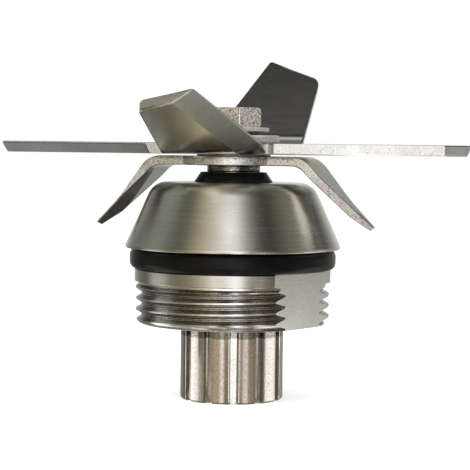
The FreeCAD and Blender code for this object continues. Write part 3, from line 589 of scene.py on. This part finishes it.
def thread_column(angle):
    """The threaded side's points at one angle, from the lower rim to the undercut."""
    lift = PITCH * angle / (2 * math.pi)
    root, mouth = 0.175, 0.75
    marks = (-mouth, (-mouth - root) / 2, -root, root, (mouth + root) / 2, mouth)
    levels = [RIM_LOW + RIM_ROUND * (1 - math.cos(math.radians(9 * n))) for n in range(11)]
    levels += [UNDERCUT_LOW, UNDERCUT_LOW + UNDERCUT_DEPTH, UNDERCUT_TOP]
    for k in range(-2, 6):
        levels += [GROOVE_START + k * PITCH + lift + mark for mark in marks]
    column = []
    for z in sorted(min(max(z, RIM_LOW), UNDERCUT_TOP) for z in levels):
        groove = round((z - GROOVE_START - lift) / PITCH)
        centre = GROOVE_START + groove * PITCH + lift
        fade = 1.0 - ease(centre, GROOVE_END, GROOVE_END + 0.13)
        share = min(max((mouth - abs(z - centre)) / (mouth - root), 0.0), 1.0)
        column.append((min(turned_radius(z), CREST - THREAD_DEPTH * fade * share), z))
    return column


def housing():
    """The dome, gasket groove, plain band and thread, with one flat across the last two."""
    ring_groove, ring_low, ring_top = 11.5, 13.75, 14.85
    hole, recess, recess_low = 5.5, 9.4, 32.25
    lower = rounded_loop([(BORE, ring_top, 0), (ring_groove, ring_top, 0),
                          (ring_groove, ring_low, 0), (BORE, ring_low, 0), (BORE, RIM_LOW, 0.15),
                          (CREST - RIM_ROUND, RIM_LOW, 0)], 3)
    outside = [(BAND, UNDERCUT_TOP, 0.1), (BAND, BAND_TOP, 0.15), (GASKET_SEAT, BAND_TOP, 0.1),
               (GASKET_SEAT, LIP_LOW, 0.1), (LIP_RADIUS, LIP_LOW, 0.14), (LIP_RADIUS, LIP_TOP, 0.3),
               (SHOULDER, DOME_TOP, 3.2), (SEAL_SEAT, DOME_TOP, 0.12)]
    within = [(SEAL_SEAT, SEAL_LOW, 0), (hole, SEAL_LOW, 0), (hole, recess_low, 0),
              (recess, recess_low, 0), (recess, BORE_TOP, 0), (BORE, BORE_TOP, 0)]
    in_metal = (12.0, 22.0, 0)
    upper = rounded_loop([*outside, *within, in_metal], 7)[:-1]
    piece = new_piece("housing_body",
                      *revolve(lambda angle: lower + thread_column(angle) + upper, 288),
                      "housing", "housing_steel", housing_look, "bearing_housing")
    cut_flat(piece)


def cut_flat(piece):
    """The locating flat, cut across the thread and the plain band."""
    low, far, half = 10.0, 19.0, 9.0
    verts = []
    for z in (low, BAND_TOP):
        for x, y in ((FLAT, -half), (far, -half), (far, half), (FLAT, half)):
            verts.append(Vector((*turn((x, y), FLAT_AZIMUTH), z)) * MM)
    faces = [(3, 2, 1, 0), (4, 5, 6, 7)]
    faces += [(n, (n + 1) % 4, 4 + (n + 1) % 4, 4 + n) for n in range(4)]
    cutter = mesh_object("flat_cutter", verts, faces, housing_look)
    piece.modifiers.clear()
    cut = piece.modifiers.new("flat", "BOOLEAN")
    cut.operation = "DIFFERENCE"
    cut.solver = "EXACT"
    cut.object = cutter
    bpy.context.view_layer.update()
    done = bpy.data.meshes.new_from_object(
        piece.evaluated_get(bpy.context.evaluated_depsgraph_get()))
    piece.modifiers.clear()
    piece.data = done
    bpy.data.objects.remove(cutter)
    done.materials.clear()
    for look in (housing_look, thread_highlight_look, flat_look, groove_shade_look):
        done.materials.append(look)
    on_dome, on_thread, on_flat, in_groove = range(4)
    facing = Vector((*turn((1.0, 0.0), FLAT_AZIMUTH), 0.0))
    for face in done.polygons:
        place = face.center / MM
        radius = place.xy.length
        face.material_index = on_dome
        if place.z < UNDERCUT_TOP and radius > BORE + 1:
            face.material_index = on_thread
            # Groove floors and upward-facing flanks take the painted shade.
            if RIM_LOW < place.z < UNDERCUT_LOW + UNDERCUT_DEPTH:
                if radius < CREST - 0.9 * THREAD_DEPTH or face.normal.z > 0.5:
                    face.material_index = in_groove
        if face.normal.dot(facing) > 0.9999 and abs(place.dot(facing) - FLAT) < 0.001:
            face.material_index = on_flat
    shade(piece, 20)


def gasket():
    """The rubber ring in the housing's groove."""
    radius = outer_radius("gasket_ring")
    low, high = heights("gasket_ring")
    low += CLEARANCE
    high -= CLEARANCE
    seat = GASKET_SEAT + CLEARANCE
    section = [(seat, low, 0.2), (radius, low, 1.15), (radius, high, 1.15), (seat, high, 0.2)]
    new_piece("gasket", *lathe(section, 200, 8), "housing", "black_rubber", rubber_look,
              "gasket_ring")


def lip_seal():
    """The rubber seal round the shaft, its lip above the dome."""
    radius = outer_radius("shaft_seal")
    low, high = heights("shaft_seal")
    low += CLEARANCE
    bore, seat = 4.06, SEAL_SEAT - CLEARANCE
    section = [(bore, low, 0), (seat, low, 0), (seat, DOME_TOP, 0),
               (radius, DOME_TOP + CLEARANCE, 0.08), (5.35, high, 0.12), (4.75, high, 0.08),
               (bore, high - 0.8, 0.05)]
    new_piece("lip_seal", *lathe(section, 160, 3), "housing", "black_rubber", seal_look,
              "shaft_seal")


housing()
gasket()
lip_seal()


# Blades

BLADE_TOP = heights("wide_washer")[0]
BLADE_SHEET = 1.8
LOWER_TOP = heights("lower_blade")[1]
LOWER_SHEET = 1.5
EDGE_LEFT = 0.25
SPINDLE_YAW = -12


def bend(offset, angle, radius, sign):
    """How a flat point beyond a bend line moves with its arm, up or down by the sign."""
    a = math.radians(angle)
    reach = radius * math.tan(a / 2)

    def move(far, z):
        depth = sign * z
        u = far - offset
        if u <= -reach:
            return far, z
        if u < reach:
            phi = a * (u + reach) / (2 * reach)
            return (offset - reach + (radius - depth) * math.sin(phi),
                    sign * (radius - (radius - depth) * math.cos(phi)))
        return (offset + u * math.cos(a) - depth * math.sin(a),
                sign * (u * math.sin(a) + depth * math.cos(a)))
    return move, reach


def crease_places(reach):
    """Where a bend's stretch is divided, as distances from its middle line."""
    steps, beside = 12, 0.15
    inner = [-reach + 2 * reach * n / steps for n in range(steps + 1)]
    return [-reach - beside, *inner, reach + beside]


def flipped(point, sign):
    """A plan point where it is, or half a turn round Z from there."""
    return (sign * point[0], sign * point[1])


def beyond(start, end, extra):
    """The point that lies a bit extra past the end of a line."""
    return Vector(end) + (Vector(end) - Vector(start)).normalized() * extra


def straight_path(start, end, run_out):
    """A straight edge as a path, with more points over its last stretch."""
    start, end = Vector(start), Vector(end)
    way = (end - start).normalized()
    return [start] + [end - way * (run_out * n / 4) for n in range(4, -1, -1)]


def grind(path, width, depth, run_out):
    """Metal taken along an edge, most at the edge and fading over its last stretch.

    The metal lies left of the path. Back come the depth taken, as a function of the plan place,
    and the lines where the surface bends.
    """
    reached = [0.0]
    for start, end in zip(path, path[1:]):
        reached.append(reached[-1] + (end - start).length)

    def taken(x, y):
        spot = Vector((x, y))
        near, far = width, 0.0
        for n, (start, end) in enumerate(zip(path, path[1:])):
            way, off = end - start, spot - start
            share = min(max(off.dot(way) / way.length_squared, 0.0), 1.0)
            gap = (start.lerp(end, share) - spot).length
            on_left = way.x * off.y - way.y * off.x > -0.05 * way.length
            if gap < near and on_left:
                near, far = gap, reached[n] + share * way.length
        return depth * ease(reached[-1] - far, 0.0, run_out) * (1 - near / width)
    feet = []
    for n, spot in enumerate(path):
        way = (path[min(n + 1, len(path) - 1)] - path[max(n - 1, 0)]).normalized()
        feet.append(spot + Vector((-way.y, way.x)) * width)
    lines = list(zip(feet, feet[1:]))
    lines += [(spot - (foot - spot) * 0.02, foot) for spot, foot in zip(path, feet)]
    return taken, lines


def spindle_hole():
    """The flatted hole's loop, clockwise, so that its metal is on the left too."""
    half = 2.42
    radius = 3.02
    steps = 16
    start = math.asin(half / radius)
    points = []
    for base in (0.0, math.pi):
        for n in range(steps + 1):
            a = base - start + 2 * start * n / steps
            points.append(turn((radius * math.cos(a), radius * math.sin(a)), SPINDLE_YAW))
    return points[::-1], [0.1] * len(points)


def bite(before, corner, after):
    """A relief hole at an inner corner, as points of the outline."""
    radius, steps = 0.9, 12
    corner = Vector(corner)
    first = (Vector(before) - corner).normalized() * radius
    last = (Vector(after) - corner).normalized() * radius
    sweep = math.atan2(first.x * last.y - first.y * last.x, first.dot(last)) % (2 * math.pi)
    return arc(corner, first, sweep, steps)


def upper_blade():
    """Two long flat arms, and two arms that bend up by different angles."""
    long_arm = ((6.9, -6.4), (34.8, -3.8), (38.1, 4.6), (9.2, 6.4))
    trail_root, trail_tip, lead_tip, lead_root = (turn(p, SPINDLE_YAW) for p in long_arm)
    bend_line = 9.2
    arm_side, arm_far = 5.42, 18.0
    notch = (-arm_side, 7.69)
    sharp_root = (-4.4, bend_line)
    sharp_tip = (6.2, bend_line + 16.1)
    blunt_tip = (14.6, bend_line + 12.5)
    # Each corner with its radius, none for a relief hole, and the edge rounding of the side after.
    half = [(trail_root, 0, 0.2), (trail_tip, 0.5, 0.2), (lead_tip, 0.25, 0.08),
            (lead_root, 0, 0.25), (blunt_tip, 1.5, 0.3), (sharp_tip, 0.6, 0.08)]
    corners = half + [(flipped(corner, -1), radius, side) for corner, radius, side in half]
    loop = []
    rounds = []
    for n, (corner, radius, side) in enumerate(corners):
        before = corners[n - 1][0]
        after = corners[(n + 1) % len(corners)][0]
        if radius:
            points = arc_corner(before, corner, after, radius, 6 if radius > 0.5 else 3)
        else:
            points = bite(before, corner, after)
        loop += points
        rounds += [min(side, 0.2)] * (len(points) - 1) + [side]

    (tip_x, tip_y), (root_x, root_y) = long_arm[2:]
    stop_x = 12.4
    stop_y = root_y + (stop_x - root_x) * (tip_y - root_y) / (tip_x - root_x)
    wheel_stop = turn((stop_x, stop_y), SPINDLE_YAW)
    depth = BLADE_SHEET - EDGE_LEFT
    edges = ((beyond(lead_root, lead_tip, 2), wheel_stop, 1.3, 1.0),
             (beyond(sharp_root, sharp_tip, 2), notch, 3.4, 2.4))
    grinds = [grind(straight_path(flipped(start, sign), flipped(end, sign), run_out), width,
                    depth, run_out) for sign in (1, -1) for start, end, width, run_out in edges]

    front, front_reach = bend(bend_line, 30.3, 3.0, 1)
    rear, rear_reach = bend(bend_line, 61.6, 3.0, 1)
    creases = []
    for sign, reach in ((-1, front_reach), (1, rear_reach)):
        for u in crease_places(reach):
            y = sign * (bend_line + u)
            creases.append(((-sign * arm_side, y), (sign * arm_far, y)))

    def shape(x, y, z):
        if y < -(bend_line - front_reach) and x < arm_side:
            far, up = front(-y, z)
            return x, -far, BLADE_TOP + up
        if y > bend_line - rear_reach and x > -arm_side:
            far, up = rear(y, z)
            return x, far, BLADE_TOP + up
        return x, y, BLADE_TOP + z
    build_blade("cutter_upper", (loop, rounds), creases, grinds, BLADE_SHEET, shape,
                "upper_blade", (bevel_deep_shade_look, lit_underside_look, cut_look))


def lower_blade():
    """Two arms that bend down, with bevels along their curved edges."""
    yaw = -19.4
    hub, half, fillet = 8.4, 4.4, 7.0
    bend_line = 13.0
    tip_x = bend_line + 15.25
    join = math.sqrt(hub ** 2 - half ** 2)
    # Each corner with its radius and the edge rounding of the side after it.
    half_corners = [(join, -half, 0, 0.2), (bend_line + 3.1, -half, fillet, 0.2),
                    (tip_x, 1.1, 0.2, 0.08), (tip_x, 2.1, 0.2, 0.08),
                    (bend_line + 9.5, 1.6, fillet, 0.08), (bend_line + 1.6, half, fillet, 0.15),
                    (join, half, 0, 0.2)]
    places = [corner[:2] for corner in half_corners]
    sweep = math.pi - 2 * math.atan2(half, join)
    hub_arc = arc(Vector((0, 0)), Vector((join, half)), sweep, 24)[1:-1]
    loop = []
    rounds = []
    for sign in (1, -1):
        for n, (x, y, radius, side) in enumerate(half_corners):
            points = [(x, y)]
            if radius:
                points = arc_corner(places[n - 1], (x, y), places[n + 1], radius,
                                    10 if radius > 1 else 3)
            if n == len(places) - 1:
                points += hub_arc
            loop += [turn(flipped(point, sign), yaw) for point in points]
            rounds += [side] * len(points)

    tip, hollow, lead_foot, inner = places[3:]
    edge = [beyond(hollow, tip, 1.5), *arc_corner(tip, hollow, lead_foot, fillet, 10),
            *arc_corner(hollow, lead_foot, inner, fillet, 10)]
    grinds = [grind([Vector(turn(flipped(point, sign), yaw)) for point in edge],
                    2.2, LOWER_SHEET - EDGE_LEFT, 10.0) for sign in (1, -1)]
    move, reach = bend(bend_line, 47, 4.5, -1)
    creases = []
    for sign in (1, -1):
        for u in crease_places(reach):
            x = sign * (bend_line + u)
            creases.append((turn((x, -6.0), yaw), turn((x, 6.0), yaw)))

    def shape(x, y, z):
        far, side = turn((x, y), -yaw)
        sign = 1 if far > 0 else -1
        out, up = move(abs(far), z)
        return (*turn((sign * out, side), yaw), LOWER_TOP + up)
    build_blade("cutter_lower", (loop, rounds), creases, grinds, LOWER_SHEET, shape,
                "lower_blade", (bevel_shade_look, blade_look, hub_look))


def build_blade(name, outline, creases, grinds, thickness, shape, node, looks):
    """A blade with ground bevels; looks are for the left bevel, the underside and the walls."""
    left_look, low_look, wall_look = looks
    lines = [line for taken, ridges in grinds for line in ridges] + creases

    def under(x, y):
        return max(taken(x, y) for taken, ridges in grinds)
    verts, faces, ground, rolled, walls = sheet_mesh([outline, spindle_hole()], lines, thickness,
                                                     under, shape)
    raised = {n for n, spot in ground.items() if abs(spot.y) > abs(spot.x)}
    # The left bevels take their own look, on the upper blade a darker one: painted shade.
    left = {n for n, spot in ground.items() if spot.x < 0} - raised
    right = set(ground) - raised - left
    new_piece(name, verts, faces, "rotor", "blade_steel", blade_look, node, 30,
              ((ground_look, raised), (left_look, left), (bevel_shade_look, right),
               (low_look, rolled), (wall_look, walls)))


upper_blade()
lower_blade()


# Shaft, gear, nut, washers

def drive_gear():
    """Twelve teeth with chamfered ends round the shaft's lower end."""
    teeth, tip, root = 12, 8.4, 7.05
    middle, top = 6.5, 12.9
    half_floor, half_gap = 0.6, 0.7
    first_gap = -90 + 2.7
    bore, boss, boss_top = 4.02, 5.7, heights("drive_gear")[1]
    spacing = 360 / teeth
    slope = (half_gap - half_floor) / (tip - root)

    def polar(across, out):
        return math.hypot(across, out), math.degrees(math.atan2(across, out))

    def ring(limit):
        """The section at a chamfer's radius, as (radius, degrees)."""
        flank = limit - 0.16
        across = half_floor + slope * (flank - root)
        corner = half_floor + slope * (limit - root)
        radius, edge = polar(corner, math.sqrt(limit ** 2 - corner ** 2))
        start = edge + 1.2
        side = [(root, 0.0), polar(half_floor * 0.75, root), polar(half_floor + 0.01, root + 0.15),
                polar(across, math.sqrt(flank ** 2 - across ** 2)), (limit - 0.03, edge + 0.35),
                (limit, start)]
        land = [(limit, start + (spacing - 2 * start) * k / 6) for k in range(1, 6)]
        tooth = side + land + [(r, spacing - a) for r, a in side[:0:-1]]
        return [(r, first_gap + spacing * n + a) for n in range(teeth) for r, a in tooth]

    levels = [(0.0, tip - 0.35), (0.1, tip - 0.2), (0.35, tip), (middle, tip), (top - 0.35, tip),
              (top - 0.1, tip - 0.2), (top, tip - 0.35)]
    rings = [(z, ring(limit)) for z, limit in levels]
    count = len(rings[0][1])
    verts = []
    for i in range(count + 1):
        spoke = math.radians(rings[0][1][i % count][1])
        column = [(bore, spoke, 0.3), (bore + 0.18, spoke, 0.0)]
        column += [(points[i % count][0], math.radians(points[i % count][1]), z)
                   for z, points in rings]
        column += [(boss, spoke, top), (boss, spoke, boss_top), (bore, spoke, boss_top)]
        verts += [(r * math.cos(a), r * math.sin(a), z) for r, a, z in column]
    new_piece("spline_gear", verts, grid_faces(count + 1, len(column)), "rotor", "gear_steel",
              gear_look, "drive_gear", 24)


def thread_rod(radius, low, high, depth, chamfer):
    """The side of a threaded rod, or of a bore with depth below zero, as a section by angle."""
    pitch = 0.8
    crest, root, rise = 0.15, 0.5, 0.62

    def section(angle):
        lift = pitch * angle / (2 * math.pi)
        points = []
        for k in range(-2, int((high - low) / pitch) + 3):
            for share in (0.0, crest, root, rise):
                z = min(max(low + (k + share) * pitch + lift, low), high)
                phase = ((z - low - lift) / pitch) % 1.0
                cut = min(max((phase - crest) / (root - crest), 0.0), 1.0,
                          (1.0 - phase) / (1.0 - rise))
                points.append((min(radius - depth * cut, radius - chamfer + high - z), z))
        return points
    return section


def shaft():
    """The ground shaft, with a centre hole below and a threaded end above."""
    journal, flange, spindle, thin = 4.0, 5.1, 3.0, 2.5
    half_flat = 2.4
    flange_top = 32.65
    shoulder = heights("blade_collar")[0]
    spindle_top = heights("lock_washer")[0]
    top = heights("shaft")[1]
    low = [(0.0, 1.1), (0.9, 0.45), (1.25, 0.0), (journal - 0.4, 0.0), (journal, 0.4),
           (journal, BORE_TOP), (flange, BORE_TOP), (flange, flange_top), (journal, flange_top),
           (journal, shoulder), (spindle, shoulder), (spindle, spindle_top), (thin, spindle_top)]
    thread = thread_rod(thin, spindle_top + 0.15, top, 0.4, 0.4)

    def section(angle):
        """The round section, with the spindle's two flats in its upper part."""
        across = abs(math.sin(angle - math.radians(SPINDLE_YAW)))
        flat = half_flat / max(across, 0.1)
        side = [(min(r, flat) if z >= shoulder and r == spindle else r, z) for r, z in low]
        return side + thread(angle) + [(0.0, top)]

    new_piece("spindle_shaft", *revolve(section, 96, False), "rotor", "bearing_steel", bright_look,
              "shaft", 30)


def nut():
    """A chamfered hexagon nut with a threaded bore, countersunk at both ends."""
    low, high = heights("blade_nut")
    height = round(high - low, 4)
    apothem, mouth, countersink = 4.0, 2.85, 0.35
    first_corner = 41.4
    corner = apothem / math.cos(math.radians(30))
    chamfer = [(0.0, 0.5), (0.07, 0.38), (0.15, 0.24), (0.3, 0.0)]
    levels = [(z, corner - less) for z, less in chamfer]
    levels += [(height - z, corner - less) for z, less in reversed(chamfer)]
    thread = thread_rod(2.52, countersink, height - countersink, -0.3, -1.0)

    def section(angle):
        from_corner = (math.degrees(angle) - first_corner + 30) % 60 - 30
        side = min(apothem / math.cos(math.radians(30 - abs(from_corner))), corner - 0.06)
        column = [(mouth, 0.0)] + [(min(side, limit), z) for z, limit in levels]
        column += [(mouth, height)] + thread(angle)[::-1]
        return [(r, low + z) for r, z in column]

    new_piece("hex_nut", *revolve(section, 180, start=math.radians(first_corner)), "rotor",
              "nut_steel", nut_look, "blade_nut")


def spring_washer():
    """A split washer whose two ends stand a little apart."""
    count = 120
    split, gap, slant = 200, 5.0, 5.0
    low, high = heights("lock_washer")
    thickness = round(high - low, 4)
    hole, radius = 2.56, outer_radius("lock_washer")
    section = rounded_loop([(hole, 0.0, 0.08), (radius, 0.0, 0.12), (radius, thickness, 0.12),
                            (hole, thickness, 0.08)], 3)
    verts = []
    for i in range(count + 1):
        way = split + gap / 2 + (360 - gap) * i / count
        for r, z in section:
            a = math.radians(way + (z / thickness - 0.5) * slant)
            verts.append((r * math.cos(a), r * math.sin(a), low + z))
    rows = len(section)
    ends = [tuple(range(rows)), tuple(count * rows + k for k in reversed(range(rows)))]
    new_piece("split_washer", verts, grid_faces(count + 1, rows) + ends, "rotor",
              "spring_steel", spring_look, "lock_washer")


def plain_washer(name, node, hole, edge, look, slot):
    low, high = heights(node)
    radius = outer_radius(node)
    section = [(hole, low, 0.05), (radius, low, edge), (radius, high, edge), (hole, high, 0.08)]
    new_piece(name, *lathe(section, 160, 5), "rotor", slot, look, node)


drive_gear()
shaft()
nut()
spring_washer()
plain_washer("spacer_collar", "blade_collar", 3.02, 0.22, collar_shade_look, "bearing_steel")
plain_washer("thin_shim", "blade_shim", 3.02, 0.05, washer_look, "washer_steel")
plain_washer("broad_washer", "wide_washer", 3.02, 0.28, washer_look, "washer_steel")
plain_washer("nut_washer", "small_washer", 2.55, 0.2, washer_look, "washer_steel")


# Inner pieces keep their solids

inner_looks = {"cage": cage_look, "shield": shield_look, "retaining_ring": spring_look}
for name, item in frame["nodes"].items():
    if item.hide_render:
        continue
    look = next((look for word, look in inner_looks.items() if word in name), bright_look)
    item.data.materials.clear()
    item.data.materials.append(look)


# Studio

def floor_material():
    """Pale diffuse paper, which the camera sees lifted to white."""
    look = Look("paper")
    seen = look.node("ShaderNodeLightPath").outputs["Is Camera Ray"]
    lift = look.node("ShaderNodeEmission", Strength=look.math("MULTIPLY", seen, 0.32))
    diffuse = look.node("ShaderNodeBsdfDiffuse", Color=rgb(0.88, 0.88, 0.88))
    both = look.node("ShaderNodeAddShader")
    look.feed(both.inputs[0], diffuse.outputs[0])
    look.feed(both.inputs[1], lift.outputs[0])
    return look.only(both)


def world():
    """White for the camera, and a little softer as a light on the part."""
    scene_world = bpy.data.worlds.new("studio")
    bpy.context.scene.world = scene_world
    scene_world.use_nodes = True
    tree = scene_world.node_tree
    back = tree.nodes["Background"]
    back.inputs["Color"].default_value = rgb(1, 1, 1)
    level = tree.nodes.new("ShaderNodeMapRange")
    level.inputs["To Min"].default_value = 0.85
    level.inputs["To Max"].default_value = 1.0
    path = tree.nodes.new("ShaderNodeLightPath")
    tree.links.new(path.outputs["Is Camera Ray"], level.inputs["Value"])
    tree.links.new(level.outputs[0], back.inputs["Strength"])


# What metal sees round it: pale and dark cards with soft edges, as stops of azimuth and percents
# of red, green and blue. Azimuth is zero in front and positive to the right.
HORIZON = [
    (-180, 95, 95, 94), (-140, 30, 30, 28), (-115, 13, 12.5, 10), (-100, 15, 14, 10),
    (-88, 20, 18, 13), (-76, 32, 29, 21), (-66, 23, 21, 14), (-56, 25, 23, 16),
    (-47, 39, 35, 25), (-38, 67, 60, 42), (-30, 93, 84, 65), (-22, 130, 127, 116),
    (-14, 150, 148, 146), (-7, 178, 178, 180), (0, 230, 233, 242), (7, 195, 195, 200),
    (14, 85, 84, 82), (22, 35, 35, 32), (30, 15, 15, 13), (38, 11, 11, 9), (47, 12, 12, 10),
    (56, 20, 19, 17), (66, 26, 25, 23), (88, 34, 33, 31), (125, 38, 37, 34.5),
    (150, 66, 66, 64), (180, 95, 95, 94),
]
UPPER = [
    (-180, 90, 90, 88), (-165, 50, 50, 48), (-148, 25, 26, 22), (-130, 20, 21, 18),
    (-115, 31, 32, 28), (-100, 35, 36, 32), (-88, 29, 30, 26), (-76, 14, 15, 12),
    (-66, 13, 13, 10), (-56, 26, 24, 17), (-47, 51, 44, 30), (-38, 71, 62, 45),
    (-30, 87, 79, 64), (-22, 114, 106, 94), (-14, 152, 145, 137), (-7, 178, 172, 168),
    (0, 180, 176, 173), (7, 135, 132, 129), (14, 75, 73, 69), (22, 38, 37, 33),
    (30, 17, 17, 14), (38, 8, 8, 7), (47, 5, 5, 4), (56, 9, 9, 7), (76, 23, 22, 18),
    (88, 28, 27, 22), (100, 13, 13, 10), (115, 2, 2, 2), (130, 6, 6, 5), (150, 25, 26, 24),
    (180, 90, 90, 88),
]
HIGH = [
    (-180, 25, 25, 23), (-100, 16, 16, 14), (-50, 5, 5, 4), (0, 3.5, 3.5, 3), (60, 5, 5, 4),
    (120, 16, 16, 14), (180, 25, 25, 23),
]
# The cards below the part, by the azimuth in which the gear shows them.
NEAR_FLOOR = [
    (-180, 36, 36, 34), (-150, 30, 29, 26), (-130, 13, 12, 10), (-112, 13, 12, 10),
    (-108, 140, 140, 139), (-100, 160, 160, 158), (-84, 135, 134, 128), (-76, 55, 53, 47),
    (-70, 34, 33, 28), (-56, 36, 34, 28), (-46, 42, 36, 26), (-36, 54, 45, 33),
    (-27, 54, 45, 33), (-24, 105, 95, 88), (-18, 105, 95, 88), (-15, 28, 23, 15),
    (-4, 20, 16, 10), (-1, 50, 50, 48), (3, 160, 160, 160), (10, 160, 160, 160),
    (13, 40, 35, 28), (24, 36, 31, 24), (28, 105, 95, 91), (35, 105, 95, 91),
    (38, 44, 37, 27), (50, 30, 25, 18), (58, 22, 20, 16), (70, 24, 22, 19), (77, 55, 53, 49),
    (82, 135, 133, 129), (108, 145, 144, 141), (117, 75, 74, 70), (128, 35, 34, 32),
    (180, 36, 36, 34),
]
ZENITH = Vector((0.80, 0.80, 0.78))
# Painted shadow: the floor's tone under the part, as its metal sees it, also taken by the dark
# card.
SHADE = Vector((0.20, 0.19, 0.17))
GEAR_RADIUS = 8.4 * MM
TENT_RADIUS = 0.5


def along(stops, azimuth):
    """The colour of a list of stops at an azimuth."""
    for before, after in zip(stops, stops[1:]):
        if azimuth <= after[0]:
            share = (azimuth - before[0]) / (after[0] - before[0])
            return Vector(before[1:]).lerp(Vector(after[1:]), share) / 100


def gear_azimuth(radius, azimuth):
    """The azimuth in which the gear's side shows a floor point to the camera."""
    way = azimuth
    for step in range(12):
        lean = math.sin(math.radians(way) / 2) * GEAR_RADIUS / radius
        way = azimuth + math.degrees(math.asin(lean))
    return min(max(way, -180.0), 180.0)


def floor_tone(radius, azimuth):
    """The floor's tone: painted shadow under the gear, then stripes round it, then like the
    horizon.
    """
    if radius < GEAR_RADIUS:
        return SHADE
    card = (ease(radius, 0.064, 0.072) * ease(-azimuth, 56.0, 61.0)
            * (1.0 - ease(-azimuth, 76.0, 80.0)))
    near = along(NEAR_FLOOR, gear_azimuth(radius, azimuth)).lerp(SHADE, card)
    return near.lerp(along(HORIZON, azimuth), ease(radius, 0.11, 0.19))


def wall_tone(elevation, azimuth):
    """The tent's tone from the horizon up to the zenith."""
    tone = along(HORIZON, azimuth).lerp(along(UPPER, azimuth), ease(elevation, 6, 20))
    tone = tone.lerp(along(HIGH, azimuth), ease(elevation, 49, 55))
    return tone.lerp(ZENITH, ease(elevation, 72, 84))


def tent_rows():
    """Each row's radius and height in metres, and its colour's function and first value."""
    rows = []
    for mm in (0, 8, 9, 10, 12, 14, 17, 20, 24, 29, 35, 42, 52, 64, 72, 80, 95, 110, 130, 150,
               190, 280, 400):
        rows.append((mm * MM, -0.0002, floor_tone, mm * MM))
    for elevation in range(-3, 91, 3):
        e = math.radians(elevation)
        rows.append((TENT_RADIUS * math.cos(e), 0.03 + TENT_RADIUS * math.sin(e), wall_tone,
                     elevation))
    return rows


def tent():
    """Soft panels and flags round the part, which only its metal sees."""
    around = 240
    verts = []
    colours = []
    rows = tent_rows()
    for r, z, tone_at, where in rows:
        for i in range(around):
            azimuth = -180 + 360 * i / around
            a = math.radians(azimuth)
            verts.append((r * math.sin(a), -r * math.cos(a), z))
            colours.append(tone_at(where, azimuth))
    faces = grid_faces(len(rows), around)
    look = Look("tent_cloth")
    tone = look.node("ShaderNodeAttribute", {"attribute_name": "tone"}).outputs["Color"]
    glow = look.node("ShaderNodeEmission", Color=tone)
    item = mesh_object("light_tent", verts, faces, look.only(glow))
    attribute = item.data.attributes.new("tone", "FLOAT_COLOR", "POINT")
    for n, colour in enumerate(colours):
        attribute.data[n].color = rgb(*colour)
    item.visible_camera = False
    item.visible_diffuse = False
    item.visible_shadow = False


def area_lamp(name, place, target, size, power):
    """A round soft light, which metal doesn't reflect."""
    data = bpy.data.lights.new(name, "AREA")
    data.shape = "DISK"
    data.size = size
    data.energy = power
    item = new_object(name, data)
    item.location = place
    item.rotation_euler = (Vector(target) - Vector(place)).to_track_quat("-Z", "Y").to_euler()
    item.visible_glossy = False


def camera():
    """The photograph's viewpoint, fitted to the blades, the dome and the gear."""
    data = bpy.data.cameras.new("photo_camera")
    data.lens = 132.5
    data.sensor_width = 36.0
    data.clip_start = 0.01
    item = new_object("photo_camera", data)
    item.location = (0.00033, -0.282, 0.0415)
    facing = Euler((math.radians(90 - 3.01), 0, 0)).to_quaternion()
    roll = Euler((0, 0, math.radians(0.63))).to_quaternion()
    item.rotation_euler = (facing @ roll).to_euler()
    bpy.context.scene.camera = item


paper = mesh_object("floor", [(-4, -4, 0), (4, -4, 0), (4, 4, 0), (-4, 4, 0)], [(0, 1, 2, 3)],
                    floor_material())
paper.visible_glossy = False
world()
tent()
area_lamp("key", (-0.35, -0.35, 0.55), (0, 0, 0.03), 0.4, 3.0)
area_lamp("fill", (0.4, -0.2, 0.4), (0, 0, 0.03), 0.5, 1.5)
camera()

bpy.context.scene.view_settings.view_transform = "Standard"
